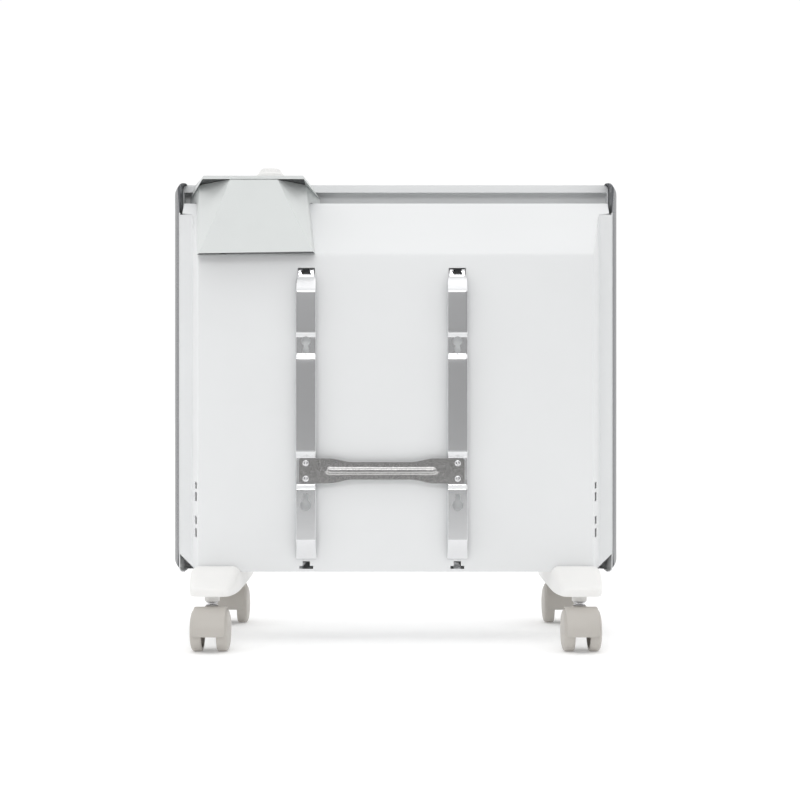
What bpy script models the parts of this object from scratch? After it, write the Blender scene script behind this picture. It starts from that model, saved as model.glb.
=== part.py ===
"""Electric panel convector heater on castors, with its wall bracket carried on the back.

Metres, +Z up, floor at Z = 0. The front panel faces -Y and the back faces +Y. The origin lies on
the floor under the middle of the whole object.
"""

import math

import bmesh
import bpy
from mathutils import Matrix, Vector

# Overall sizes
PANEL_WIDTH = 0.460
PANEL_HEIGHT = 0.400
FRONT_Y = -0.0415
BODY_DEPTH = 0.097
SHEET = 0.001
GAP = 0.0003

# Side trims and the front panel's folds
TRIM_WIDTH = 0.0085
TRIM_CORNER = 0.0115
TRIM_DEPTH = 0.036
TRIM_TAPER = 0.0075
PANEL_CORNER = 0.0045
TOP_RETURN = 0.013
LIP_HEIGHT = 0.008

# Warm-air outlet in the front panel
OUTLET_MARGIN = 0.040
OUTLET_TOP_DROP = 0.030
OUTLET_HEIGHT = 0.048
OUTLET_VANES = 6
OUTLET_VANE = 0.0016

# Rear casing
CASING_RISE = 0.006
BACK_INSET = 0.0336
CHEEK_INSET = 0.0225
CHEEK_EDGE = 0.0095
CHEEK_DEPTH = 0.050
CHEEK_TOP_DROP = 0.0345
CHEEK_CORNER = 0.0130
CREASE_DROP = 0.0795
DEFLECTOR_TOP_DROP = 0.0215
DEFLECTOR_EDGE = 0.0120
SIDE_SLOT_LENGTH = 0.018
SIDE_SLOT_Y = 0.0400
SIDE_SLOTS = ((0.0330, 0.0090), (0.0460, 0.0080), (0.0690, 0.0090), (0.0815, 0.0065))
INLET_SLOTS = 16
INLET_SLOT_WIDTH = 0.0070
INLET_SLOT_LENGTH = 0.060

# Wall bracket
BRACKET_X = 0.0138
BRACKET_SPACING = 0.1495
UPRIGHT_WIDTH = 0.0200
UPRIGHT_SHEET = 0.0012
UPRIGHT_FLANGE = 0.0035
STAND_OFF = 0.0105
RECESS = 0.0026
HOOK_SLOT_WIDTH = 0.0168
HOOK_SLOT_HEIGHT = 0.0060
HOOK_SLOT_DROP = 0.0138
TONGUE_WIDTH = 0.0120
TEE_STEM_WIDTH = 0.0072
TEE_BASE_WIDTH = 0.0136
TEE_RISE = 0.0028
TEE_BASE_HEIGHT = 0.0030
TEE_STEM_HEIGHT = 0.0046
KEYHOLE_HEAD = 0.0094
KEYHOLE_NECK = 0.0050
KEYHOLE_LENGTH = 0.0120
UPPER_KEYHOLE_DROP = 0.0865
LOWER_KEYHOLE_RISE = 0.0665
BRACE_RISE = 0.1002
BRACE_OVERHANG = 0.0066
BRACE_HEIGHT = 0.0246
BRACE_WAIST = 0.0172
BRACE_WAIST_LENGTH = 0.066
BRACE_SHEET = 0.0014
BRACE_RIB_LENGTH = 0.108
BRACE_RIB_HEIGHT = 0.0078
BRACE_RIB_RISE = 0.0016
SCREW_HEAD = 0.0064
SCREW_SHANK = 0.0030
SCREW_SPREAD = 0.0152

# Control unit
UNIT_RIGHT = 0.0800
UNIT_REAR_LEFT = 0.1925
UNIT_FRONT_LEFT = 0.2140
UNIT_OVERHANG = 0.0180
UNIT_REAR_TOP = 0.0435
UNIT_PROW_LEFT = 0.1650
UNIT_PROW_RIGHT = 0.1180
UNIT_SHOULDER_LEFT = (0.2010, 0.0020)
UNIT_SHOULDER_RIGHT = (0.0925, 0.0030)
UNIT_BOTTOM_TILT = 0.0008
UNIT_WALL = 0.0020
LID_EDGE = 0.0037
LID_SIDE_DROP = 0.0150
LID_REAR = (0.0915, 0.1928)
LID_TOP_INSET = (0.0085, 0.0055)

# Controls
KNOB_X = 0.1270
KNOB_Y = 0.0170
KNOB_DIAMETER = 0.0276
KNOB_HEIGHT = 0.0098
KNOB_LOBES = 12
KNOB_TRAVEL = 270
SHAFT_DIAMETER = 0.0060
SWITCH_X = 0.1690
SWITCH_Y = 0.0080
SWITCH_SIZE = (0.0150, 0.0210)
ROCKER_TILT = 12
LAMP_X = 0.1500
LAMP_Y = -0.0050
LAMP_DIAMETER = 0.0050
GROMMET_X = 0.1700
GROMMET_DIAMETER = 0.0090

# Heating parts
ELEMENT_RISE = 0.070
ELEMENT_Y = 0.004
ELEMENT_LENGTH = 0.350
ELEMENT_FINS = 17
ELEMENT_FIN = 0.0016
ELEMENT_SIZE = (0.044, 0.056)
ELEMENT_CORE = 0.016
INSULATOR_DIAMETER = 0.022
INSULATOR_LENGTH = 0.012
SUPPORT_THICKNESS = 0.0015
SHIELD_Y = 0.0400
SHIELD_RISE = 0.018
SHIELD_DROP = 0.095

# Feet and castors
FOOT_X = 0.1775
FOOT_END_WIDTH = 0.0350
FOOT_WIDTH = 0.0484
FOOT_FRONT = -0.1278
FOOT_REAR = 0.1125
FOOT_HEIGHT = 0.0119
FOOT_END_HEIGHT = 0.0081
FOOT_LIP = 0.0061
FOOT_BEVEL = 0.0070
STEM_REAR = 0.0925
STEM_SPACING = 0.200
SOCKET_DIAMETER = 0.0143
SOCKET_LENGTH = 0.0063
STEM_DIAMETER = 0.0070
STEM_SHOWING = 0.0039
STEM_DEPTH = 0.0089
WHEEL_RADIUS = 0.0200
WHEEL_WIDTH = 0.0123
WHEEL_INNER = 0.0070
WHEEL_SIDES = 20
TRAIL = 0.0130
HOOD_CLEARANCE = 0.0024
HOOD_WALL = 0.0015
HOOD_WIDTH = 0.0316
AXLE_DIAMETER = 0.0040

# Worked out from the sizes above
HOOD_RADIUS = WHEEL_RADIUS + HOOD_CLEARANCE
HOOD_TOP = WHEEL_RADIUS + HOOD_RADIUS
STEM_BOTTOM = HOOD_TOP - STEM_DEPTH
SOCKET_BOTTOM = HOOD_TOP + STEM_SHOWING
FOOT_BOTTOM = SOCKET_BOTTOM + SOCKET_LENGTH
FOOT_END_TOP = FOOT_BOTTOM + FOOT_END_HEIGHT
PANEL_BOTTOM = FOOT_BOTTOM + FOOT_HEIGHT
HALF = PANEL_WIDTH / 2
PANEL_TOP = PANEL_BOTTOM + PANEL_HEIGHT
PANEL_HALF = HALF - TRIM_WIDTH
BACK_Y = FRONT_Y + BODY_DEPTH
LIP_Y = FRONT_Y + TOP_RETURN
CASING_BOTTOM = PANEL_BOTTOM + CASING_RISE
BACK_HALF = HALF - BACK_INSET
CHEEK_HALF = HALF - CHEEK_INSET
CHEEK_Y = BACK_Y - CHEEK_DEPTH
CREASE_Z = PANEL_TOP - CREASE_DROP
CHEEK_TOP = PANEL_TOP - CHEEK_TOP_DROP
DEFLECTOR_TOP = PANEL_TOP - DEFLECTOR_TOP_DROP
DEFLECTOR_RUN = CHEEK_DEPTH / (CHEEK_TOP - CREASE_Z)
PANEL_INNER_Y = FRONT_Y + SHEET
FOOT_TOP = CASING_BOTTOM - GAP
STEM_FRONT = STEM_REAR - STEM_SPACING


def deflector_y(z):
    """The depth of the deflector's outer surface at height z: straight forward and up from the crease."""
    return BACK_Y - (z - CREASE_Z) * DEFLECTOR_RUN


def clear_scene():
    for old in list(bpy.data.objects):
        bpy.data.objects.remove(old, do_unlink=True)


def material(name, colour, roughness, metallic=0.0):
    """A named material, made once and shared by the pieces that have the same finish."""
    made = bpy.data.materials.get(name)
    if made:
        return made
    made = bpy.data.materials.new(name)
    made.use_nodes = True
    made.diffuse_color = (*colour, 1.0)
    shader = made.node_tree.nodes["Principled BSDF"]
    shader.inputs["Base Color"].default_value = (*colour, 1.0)
    shader.inputs["Roughness"].default_value = roughness
    shader.inputs["Metallic"].default_value = metallic
    return made


def white_coat():
    return material("white_powder_coat", (0.86, 0.87, 0.87), 0.45)


def trim_plastic():
    return material("dark_trim_plastic", (0.09, 0.095, 0.10), 0.35)


def unit_plastic():
    return material("white_unit_plastic", (0.84, 0.86, 0.85), 0.38)


def warm_plastic():
    return material("warm_white_plastic", (0.88, 0.87, 0.84), 0.40)


def zinc():
    return material("zinc_plate", (0.62, 0.63, 0.65), 0.32, 1.0)


def castor_plastic():
    return material("taupe_plastic", (0.52, 0.49, 0.45), 0.42)


def steel():
    return material("bright_steel", (0.70, 0.70, 0.71), 0.25, 1.0)


def aluminium():
    return material("element_aluminium", (0.58, 0.59, 0.60), 0.40, 1.0)


def ceramic():
    return material("white_ceramic", (0.88, 0.86, 0.80), 0.50)


def black_plastic():
    return material("black_plastic", (0.03, 0.03, 0.032), 0.45)


def red_lens():
    return material("red_lens", (0.75, 0.06, 0.04), 0.15)


def place(name, mesh, finish, at=(0, 0, 0), parent=None):
    """Puts a bmesh into the scene as a named object whose origin is at the given world point."""
    bmesh.ops.translate(mesh, verts=mesh.verts, vec=-Vector(at))
    data = bpy.data.meshes.new(name)
    mesh.to_mesh(data)
    mesh.free()
    data.materials.append(finish)
    data.shade_smooth()
    data.set_sharp_from_angle(angle=math.radians(35))
    made = bpy.data.objects.new(name, data)
    made.location = at
    bpy.context.scene.collection.objects.link(made)
    if parent:
        made.location = Vector(at) - Vector(parent.location)
        made.parent = parent
    return made


def prism(outline, axis, low, high):
    """A closed outline extruded along an axis. Its points are (y, z) for X, (x, z) for Y, (x, y) for Z."""
    order = {"X": (2, 0, 1), "Y": (0, 2, 1), "Z": (0, 1, 2)}[axis]
    mesh = bmesh.new()
    rings = []
    for level in (low, high):
        ring = []
        for u, v in outline:
            entry = (u, v, level)
            ring.append(mesh.verts.new([entry[i] for i in order]))
        rings.append(ring)
    mesh.faces.new(rings[0])
    mesh.faces.new(rings[1])
    count = len(outline)
    for i in range(count):
        j = (i + 1) % count
        mesh.faces.new((rings[0][i], rings[0][j], rings[1][j], rings[1][i]))
    bmesh.ops.recalc_face_normals(mesh, faces=mesh.faces)
    return mesh


def loft(rings):
    """A closed solid through rings of the same number of points, with a flat cap on the first and the last."""
    mesh = bmesh.new()
    made = [[mesh.verts.new(point) for point in ring] for ring in rings]
    mesh.faces.new(made[0])
    mesh.faces.new(made[-1])
    for low, high in zip(made, made[1:]):
        for i in range(len(low)):
            j = (i + 1) % len(low)
            mesh.faces.new((low[i], low[j], high[j], high[i]))
    bmesh.ops.triangulate(mesh, faces=mesh.faces)
    bmesh.ops.recalc_face_normals(mesh, faces=mesh.faces)
    return mesh


def box(low, high):
    return prism([(low[0], low[1]), (high[0], low[1]), (high[0], high[1]), (low[0], high[1])], "Z", low[2], high[2])


def solid(points, faces):
    """A closed solid from its corner points and its faces."""
    mesh = bmesh.new()
    verts = [mesh.verts.new(point) for point in points]
    for face in faces:
        mesh.faces.new([verts[i] for i in face])
    bmesh.ops.recalc_face_normals(mesh, faces=mesh.faces)
    if mesh.calc_volume(signed=True) < 0:
        bmesh.ops.reverse_faces(mesh, faces=mesh.faces)
    return mesh


def turned(profile, sides, axis, centre, twist=0.0):
    """A closed profile of (radius, height) points turned about an axis. A radius of 0 makes a point."""
    turn = {"X": (2, 0, 1), "Y": (1, 2, 0), "Z": (0, 1, 2)}[axis]
    mesh = bmesh.new()
    rings = []
    for radius, height in profile:
        steps = sides if radius > 0 else 1
        ring = []
        for i in range(steps):
            angle = 2 * math.pi * i / sides + twist
            local = (radius * math.cos(angle), radius * math.sin(angle), height)
            ring.append(mesh.verts.new([local[k] + c for k, c in zip(turn, centre)]))
        rings.append(ring)
    for low, high in zip(rings, rings[1:] + rings[:1]):
        for i in range(sides):
            j = (i + 1) % sides
            corners = [low[i % len(low)], low[j % len(low)], high[j % len(high)], high[i % len(high)]]
            corners = list(dict.fromkeys(corners))
            if len(corners) > 2:
                mesh.faces.new(corners)
    bmesh.ops.recalc_face_normals(mesh, faces=mesh.faces)
    return mesh


def rod(radius, low, high, axis, centre, sides=24):
    return turned([(0, low), (radius, low), (radius, high), (0, high)], sides, axis, centre)


def merged(*meshes):
    """Several closed shapes in one bmesh, for use as one cutter."""
    whole = bmesh.new()
    for mesh in meshes:
        data = bpy.data.meshes.new("piece")
        mesh.to_mesh(data)
        mesh.free()
        whole.from_mesh(data)
        bpy.data.meshes.remove(data)
    return whole


def boolean(target, mesh, operation, label):
    """Cuts, joins or intersects an object with a helper shape that stays out of the build."""
    data = bpy.data.meshes.new(label)
    mesh.to_mesh(data)
    mesh.free()
    helper = bpy.data.objects.new(label, data)
    helper.hide_render = True
    helper.display_type = "WIRE"
    bpy.context.scene.collection.objects.link(helper)
    helper.location = -Vector(target.location)
    if target.parent:
        helper.location -= Vector(target.parent.location)
    helper.location = (0, 0, 0)
    modifier = target.modifiers.new(label, "BOOLEAN")
    modifier.operation = operation
    modifier.solver = "EXACT"
    modifier.object = helper
    return helper


def skin(name, points, faces, outward, thickness, finish):
    """A folded sheet: its outer faces, thickened inwards. The first face looks towards the given vector."""
    mesh = bmesh.new()
    verts = [mesh.verts.new(point) for point in points]
    made = [mesh.faces.new([verts[i] for i in face]) for face in faces]
    bmesh.ops.recalc_face_normals(mesh, faces=mesh.faces)
    made[0].normal_update()
    if made[0].normal.dot(Vector(outward)) < 0:
        bmesh.ops.reverse_faces(mesh, faces=mesh.faces)
    sheet = place(name, mesh, finish)
    wall = sheet.modifiers.new("sheet", "SOLIDIFY")
    wall.thickness = thickness
    wall.offset = -1
    wall.use_even_offset = True
    wall.use_quality_normals = True
    return sheet


def arc(centre, radius, start, end, steps):
    """Points on a circle, from one angle in degrees to another."""
    points = []
    for i in range(steps + 1):
        angle = math.radians(start + (end - start) * i / steps)
        points.append((centre[0] + radius * math.cos(angle), centre[1] + radius * math.sin(angle)))
    return points


def rounded(x0, x1, y0, y1, radius, steps=6):
    """A rectangle with four equal round corners."""
    return (
        arc((x1 - radius, y0 + radius), radius, -90, 0, steps)
        + arc((x1 - radius, y1 - radius), radius, 0, 90, steps)
        + arc((x0 + radius, y1 - radius), radius, 90, 180, steps)
        + arc((x0 + radius, y0 + radius), radius, 180, 270, steps)
    )


def outlet_box(margin, low_y, high_y):
    """The outlet opening in the panel, grown by a margin."""
    half = PANEL_HALF - OUTLET_MARGIN + margin
    top = PANEL_TOP - OUTLET_TOP_DROP + margin
    bottom = PANEL_TOP - OUTLET_TOP_DROP - OUTLET_HEIGHT - margin
    return prism(rounded(-half, half, bottom, top, 0.006 + margin, 4), "Y", low_y, high_y)


def front_panel():
    """One sheet with its sides and bottom folded back, and its top folded back and then down as a lip."""
    outer = rounded(-PANEL_HALF, PANEL_HALF, PANEL_BOTTOM, PANEL_TOP, PANEL_CORNER, 5)
    inner_edge = PANEL_HALF - SHEET
    inner = rounded(
        -inner_edge, inner_edge, PANEL_BOTTOM + SHEET, PANEL_TOP - SHEET, PANEL_CORNER - SHEET, 5
    )
    panel = place("front_panel", prism(outer, "Y", FRONT_Y, CHEEK_Y - SHEET - GAP), white_coat())
    boolean(panel, prism(inner, "Y", PANEL_INNER_Y, BACK_Y), "DIFFERENCE", "cut_panel_inside")
    top_cut = box(
        (-HALF, LIP_Y, CHEEK_TOP + 2 * SHEET), (HALF, BACK_Y, PANEL_TOP + SHEET)
    )
    boolean(panel, top_cut, "DIFFERENCE", "cut_panel_top")
    bottom_cut = box(
        (-inner_edge + PANEL_CORNER, FRONT_Y + TOP_RETURN, PANEL_BOTTOM - SHEET),
        (inner_edge - PANEL_CORNER, BACK_Y, PANEL_BOTTOM + 2 * SHEET),
    )
    boolean(panel, bottom_cut, "DIFFERENCE", "cut_panel_bottom")
    lip_top = prism(
        rounded(-PANEL_HALF, PANEL_HALF, PANEL_TOP - 3 * PANEL_CORNER, PANEL_TOP, PANEL_CORNER, 5),
        "Y",
        LIP_Y - SHEET,
        LIP_Y,
    )
    trimmed = place("lip_shape", lip_top, white_coat())
    trimmed.hide_render = True
    trimmed.display_type = "WIRE"
    low = box(
        (-HALF, LIP_Y - 2 * SHEET, CASING_BOTTOM), (HALF, LIP_Y + SHEET, PANEL_TOP - LIP_HEIGHT)
    )
    boolean(trimmed, low, "DIFFERENCE", "cut_lip")
    join = panel.modifiers.new("lip", "BOOLEAN")
    join.operation = "UNION"
    join.object = trimmed
    boolean(panel, outlet_box(0, FRONT_Y - SHEET, PANEL_INNER_Y + SHEET), "DIFFERENCE", "cut_outlet")


def outlet_grille():
    """A moulded frame with slanting vanes, set into the panel's opening from behind."""
    frame = place("outlet_grille", outlet_box(-GAP, FRONT_Y + GAP, FRONT_Y + 0.009), trim_plastic())
    flange = outlet_box(0.004, PANEL_INNER_Y + GAP, PANEL_INNER_Y + 0.002)
    boolean(frame, flange, "UNION", "add_grille_flange")
    top = PANEL_TOP - OUTLET_TOP_DROP
    pitch = (OUTLET_HEIGHT - 0.004) / OUTLET_VANES
    slots = []
    half = PANEL_HALF - OUTLET_MARGIN - 0.0025
    for i in range(OUTLET_VANES):
        low = top - 0.002 - (i + 1) * pitch + OUTLET_VANE / 2
        high = low + pitch - OUTLET_VANE
        lean = 0.003
        outline = [
            (FRONT_Y - 0.001, low),
            (FRONT_Y + 0.010, low + lean),
            (FRONT_Y + 0.010, high + lean),
            (FRONT_Y - 0.001, high),
        ]
        if i == 0:
            outline[2] = (FRONT_Y + 0.010, high)
        slots.append(prism(outline, "X", -half, half))
    boolean(frame, merged(*slots), "DIFFERENCE", "cut_grille_slots")


def side_trim(name, side):
    """A rounded end moulding that closes the panel's edge. It is widest near the front and tapers to the back."""
    rings = []
    for back, inset in ((0, 0.0030), (0.0020, 0.0008), (0.0050, 0), (0.0120, 0), (0.0250, 0.0026), (TRIM_DEPTH, TRIM_TAPER)):
        radius = TRIM_CORNER - inset
        ring = (
            [(0, PANEL_BOTTOM + inset)]
            + arc((HALF - TRIM_CORNER, PANEL_BOTTOM + TRIM_CORNER), radius, -90, 0, 8)
            + arc((HALF - TRIM_CORNER, PANEL_TOP - TRIM_CORNER), radius, 0, 90, 8)
            + [(0, PANEL_TOP - inset)]
        )
        rings.append([(side * x, FRONT_Y + back, z) for x, z in ring])
    front = loft(rings)
    trim = place(name, front, trim_plastic())
    grown = PANEL_HALF + GAP
    core = prism(
        rounded(-grown, grown, PANEL_BOTTOM - GAP, PANEL_TOP + GAP, PANEL_CORNER + GAP, 5),
        "Y",
        FRONT_Y - SHEET,
        BACK_Y,
    )
    boolean(trim, core, "DIFFERENCE", "cut_" + name)
    tip = HALF - TRIM_CORNER + 0.003
    ends = box((-tip, FRONT_Y - SHEET, 0), (tip, BACK_Y, PANEL_TOP + SHEET))
    boolean(trim, ends, "DIFFERENCE", "cut_tip_" + name)


def casing_outline():
    """The corner points of the casing's outer faces on the +X side, by name."""
    return {
        "back_low": (BACK_HALF, BACK_Y, CASING_BOTTOM),
        "back_high": (BACK_HALF, BACK_Y, CREASE_Z),
        "wall_low": (CHEEK_HALF, CHEEK_Y, CASING_BOTTOM),
        "wall_corner": (CHEEK_HALF, CHEEK_Y, CASING_BOTTOM),
        "wall_high": (CHEEK_HALF, CHEEK_Y, CHEEK_TOP),
        "cheek_low": (HALF - CHEEK_EDGE, CHEEK_Y, CASING_BOTTOM + CHEEK_CORNER),
        "cheek_high": (HALF - CHEEK_EDGE, CHEEK_Y, CHEEK_TOP - 0.0004),
        "wing_low": (HALF - DEFLECTOR_EDGE, deflector_y(CHEEK_TOP + 0.0012), CHEEK_TOP + 0.0012),
        "wing_high": (HALF - DEFLECTOR_EDGE, deflector_y(DEFLECTOR_TOP), DEFLECTOR_TOP),
        "shelf": (HALF - DEFLECTOR_EDGE, PANEL_INNER_Y + GAP, DEFLECTOR_TOP),
    }


def rear_casing():
    """The back, its sloping deflector, the steep side walls and the flanges, folded from one sheet."""
    outline = casing_outline()
    names = ["back_low", "back_high", "wall_low", "wall_high", "cheek_low", "cheek_high"]
    names += ["wing_low", "wing_high", "shelf"]
    points = []
    for side in (1, -1):
        for name in names:
            x, y, z = outline[name]
            points.append((side * x, y, z))
    count = len(names)
    left = {name: i for i, name in enumerate(names)}
    right = {name: i + count for i, name in enumerate(names)}
    faces = [[left["back_low"], left["back_high"], right["back_high"], right["back_low"]]]
    faces.append(
        [left[n] for n in ("back_high", "wall_high", "wing_low", "wing_high")]
        + [right[n] for n in ("wing_high", "wing_low", "wall_high", "back_high")]
    )
    faces.append([left["wing_high"], left["shelf"], right["shelf"], right["wing_high"]])
    for half in (left, right):
        faces.append([half[n] for n in ("back_low", "back_high", "wall_high", "wall_low")])
        faces.append([half[n] for n in ("wall_low", "wall_high", "cheek_high", "cheek_low")])
    casing = skin("rear_casing", points, faces, (0, 1, 0), SHEET, white_coat())
    cutters = []
    for centre in upright_centres():
        cutters.append(hook_slot(centre))
        cutters += tee_slot(centre)
    for side in (1, -1):
        for rise, height in SIDE_SLOTS:
            low = CASING_BOTTOM + rise
            middle = SIDE_SLOT_Y
            inner = BACK_HALF - 0.006
            cutters.append(
                box(
                    (min(side * inner, side * HALF), middle - SIDE_SLOT_LENGTH / 2, low),
                    (max(side * inner, side * HALF), middle + SIDE_SLOT_LENGTH / 2, low + height),
                )
            )
    plug_y = deflector_y(CREASE_Z + 0.020)
    cutters.append(box((PLUG_X - 0.016, plug_y - 0.010, CREASE_Z), (PLUG_X + 0.016, plug_y + 0.010, CHEEK_TOP)))
    boolean(casing, merged(*cutters), "DIFFERENCE", "cut_casing_slots")


def upright_centres():
    return (BRACKET_X + BRACKET_SPACING / 2, BRACKET_X - BRACKET_SPACING / 2)


def hook_slot(centre):
    top = CREASE_Z - HOOK_SLOT_DROP
    half = HOOK_SLOT_WIDTH / 2
    return box(
        (centre - half, BACK_Y - 3 * SHEET, top - HOOK_SLOT_HEIGHT), (centre + half, BACK_Y + SHEET, top)
    )


def tee_slot(centre):
    """An upside-down T, as two boxes that share no face: the base, and the stem that runs down into it."""
    low = CASING_BOTTOM + TEE_RISE
    high = low + TEE_BASE_HEIGHT
    outline = [
        (centre - TEE_BASE_WIDTH / 2, low),
        (centre + TEE_BASE_WIDTH / 2, low),
        (centre + TEE_BASE_WIDTH / 2, high),
        (centre + TEE_STEM_WIDTH / 2, high),
        (centre + TEE_STEM_WIDTH / 2, high + TEE_STEM_HEIGHT),
        (centre - TEE_STEM_WIDTH / 2, high + TEE_STEM_HEIGHT),
        (centre - TEE_STEM_WIDTH / 2, high),
        (centre - TEE_BASE_WIDTH / 2, high),
    ]
    return [prism(outline, "Y", BACK_Y - 3 * SHEET, BACK_Y + SHEET)]


def inlet_grille():
    """The slotted bottom plate, through which cold air is drawn in and to which the feet are screwed."""
    low = CASING_BOTTOM + GAP
    rear = BACK_Y - SHEET - GAP
    front = PANEL_INNER_Y + GAP
    fit = 2 * SHEET
    right = [(CHEEK_HALF - fit, front), (CHEEK_HALF - fit, CHEEK_Y - SHEET), (BACK_HALF - fit, rear)]
    plate = prism(right + [(-x, y) for x, y in reversed(right)], "Z", low, low + SHEET)
    grille = place("inlet_grille", plate, white_coat())
    span = 2 * (FOOT_X - FOOT_WIDTH / 2 - 0.012)
    pitch = span / INLET_SLOTS
    middle = (PANEL_INNER_Y + BACK_Y) / 2
    slots = []
    for i in range(INLET_SLOTS):
        x = -span / 2 + (i + 0.5) * pitch
        slots.append(
            box(
                (x - INLET_SLOT_WIDTH / 2, middle - INLET_SLOT_LENGTH / 2, low - SHEET),
                (x + INLET_SLOT_WIDTH / 2, middle + INLET_SLOT_LENGTH / 2, low + 2 * SHEET),
            )
        )
    for side in (1, -1):
        for y in foot_screw_places():
            slots.append(rod(0.0022, low - SHEET, low + 2 * SHEET, "Z", (side * FOOT_X, y, 0), 12))
    boolean(grille, merged(*slots), "DIFFERENCE", "cut_inlet_slots")


def upright_stations():
    """Along an upright from top to bottom: height, stand-off from the back, half width, flange depth."""
    out = STAND_OFF
    half = UPRIGHT_WIDTH / 2
    tongue = TONGUE_WIDTH / 2
    hook = CREASE_Z - HOOK_SLOT_DROP - HOOK_SLOT_HEIGHT / 2
    upper = CREASE_Z - UPPER_KEYHOLE_DROP
    brace = CASING_BOTTOM + BRACE_RISE
    lower = CASING_BOTTOM + TEE_RISE + TEE_BASE_HEIGHT + TEE_STEM_HEIGHT
    edge = UPRIGHT_FLANGE
    return [
        (hook + 0.0002, -0.0030, tongue, 0.0),
        (hook - 0.0004, 0.0020, tongue, 0.0),
        (hook - 0.0050, 0.0030, tongue + 0.0006, 0.0),
        (hook - 0.0090, 0.0048, half - 0.0010, 0.0006),
        (hook - 0.0125, out - 0.0016, half, 0.0020),
        (hook - 0.0180, out, half, edge),
        (upper + 0.0068, out, half, edge),
        (upper + 0.0042, out - RECESS, half, edge * 0.5),
        (upper - 0.0125, out - RECESS, half, edge * 0.5),
        (upper - 0.0165, out, half, edge),
        (brace + BRACE_HEIGHT / 2 + 0.0056, out, half, edge),
        (brace + BRACE_HEIGHT / 2 + 0.0012, out - RECESS, half, edge * 0.5),
        (brace - BRACE_HEIGHT / 2 - 0.0012, out - RECESS, half, edge * 0.5),
        (brace - BRACE_HEIGHT / 2 - 0.0056, out, half, edge),
        (lower + 0.0210, out, half, edge),
        (lower + 0.0170, out - 0.0012, half, edge * 0.7),
        (lower + 0.0025, 0.0018, half, 0.0004),
    ]


def keyhole(centre, z, hang):
    """A round hole that lets a screw head through, with a narrow neck running up (1) or down (-1) from it."""
    head = KEYHOLE_HEAD / 2
    neck = KEYHOLE_NECK / 2
    y_low = BACK_Y + 0.0002
    y_high = BACK_Y + STAND_OFF + 0.01
    spread = math.degrees(math.asin(neck / head))
    outline = arc((centre, z), head, 90 * hang + spread * hang, (90 + 360) * hang - spread * hang, 14)
    end = z + hang * (KEYHOLE_LENGTH - neck)
    outline += arc((centre, end), neck, 0 if hang > 0 else 0, 180 * hang, 5)
    return prism(outline, "Y", y_low, y_high)


def bracket_upright(name, centre):
    """A pressed strip with folded edges, bent at its top into a hook and at its bottom back to the casing."""
    points = []
    for z, off, half, flange in upright_stations():
        y = BACK_Y + off + 0.0003
        for x, depth in ((-half, flange + 0.0004), (-half, 0), (half, 0), (half, flange + 0.0004)):
            points.append((centre + x, y - depth, z))
    faces = []
    for i in range(len(upright_stations()) - 1):
        for j in range(3):
            a = 4 * i + j
            faces.append([a, a + 1, a + 5, a + 4])
    faces.insert(0, faces.pop(19))
    upright = skin(name, points, faces, (0, 1, 0), UPRIGHT_SHEET, zinc())
    upper = CREASE_Z - UPPER_KEYHOLE_DROP
    lower = CASING_BOTTOM + LOWER_KEYHOLE_RISE
    cutters = [keyhole(centre, upper, -1), keyhole(centre, lower, 1)]
    for dz in (-SCREW_SPREAD / 2, SCREW_SPREAD / 2):
        z = CASING_BOTTOM + BRACE_RISE + dz
        cutters.append(rod(SCREW_SHANK / 2 + GAP, BACK_Y + 0.001, BACK_Y + 0.03, "Y", (centre, 0, z), 12))
    boolean(upright, merged(*cutters), "DIFFERENCE", "cut_" + name)


def brace_face():
    """The depth of the brace's outer face, which lies in the uprights' recesses."""
    return BACK_Y + STAND_OFF - RECESS + GAP + BRACE_SHEET + 0.0003


def bracket_brace():
    """The cross strip: square ends, a narrower waist, and a long rib pressed out towards the wall."""
    centres = upright_centres()
    middle = (centres[0] + centres[1]) / 2
    reach = BRACKET_SPACING / 2 + BRACE_OVERHANG
    z = CASING_BOTTOM + BRACE_RISE
    tall = BRACE_HEIGHT / 2
    thin = BRACE_WAIST / 2
    waist = BRACE_WAIST_LENGTH / 2
    run = 0.030
    quarter = [(waist + run, tall)] + arc((waist + run * 0.55, thin + 0.012), 0.012, -35, -90, 4) + [(waist, thin)]
    right = [(reach, tall)] + quarter
    upper = right + [(-x, h) for x, h in reversed(right)]
    outline = [(middle + x, z + h) for x, h in upper] + [(middle + x, z - h) for x, h in reversed(upper)]
    outer = brace_face()
    brace = place("bracket_brace", prism(outline, "Y", outer - BRACE_SHEET, outer), zinc())
    rib_half = BRACE_RIB_LENGTH / 2
    rib = prism(
        rounded(
            middle - rib_half,
            middle + rib_half,
            z - BRACE_RIB_HEIGHT / 2,
            z + BRACE_RIB_HEIGHT / 2,
            BRACE_RIB_HEIGHT / 2 - 0.0001,
            5,
        ),
        "Y",
        outer - 0.0005,
        outer + BRACE_RIB_RISE,
    )
    boolean(brace, rib, "UNION", "add_rib")
    holes = []
    for centre in centres:
        for dz in (-SCREW_SPREAD / 2, SCREW_SPREAD / 2):
            at = (centre, 0, z + dz)
            holes.append(rod(SCREW_SHANK / 2 + GAP, outer - 0.01, outer + 0.01, "Y", at, 12))
    boolean(brace, merged(*holes), "DIFFERENCE", "cut_brace_holes")


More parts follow.
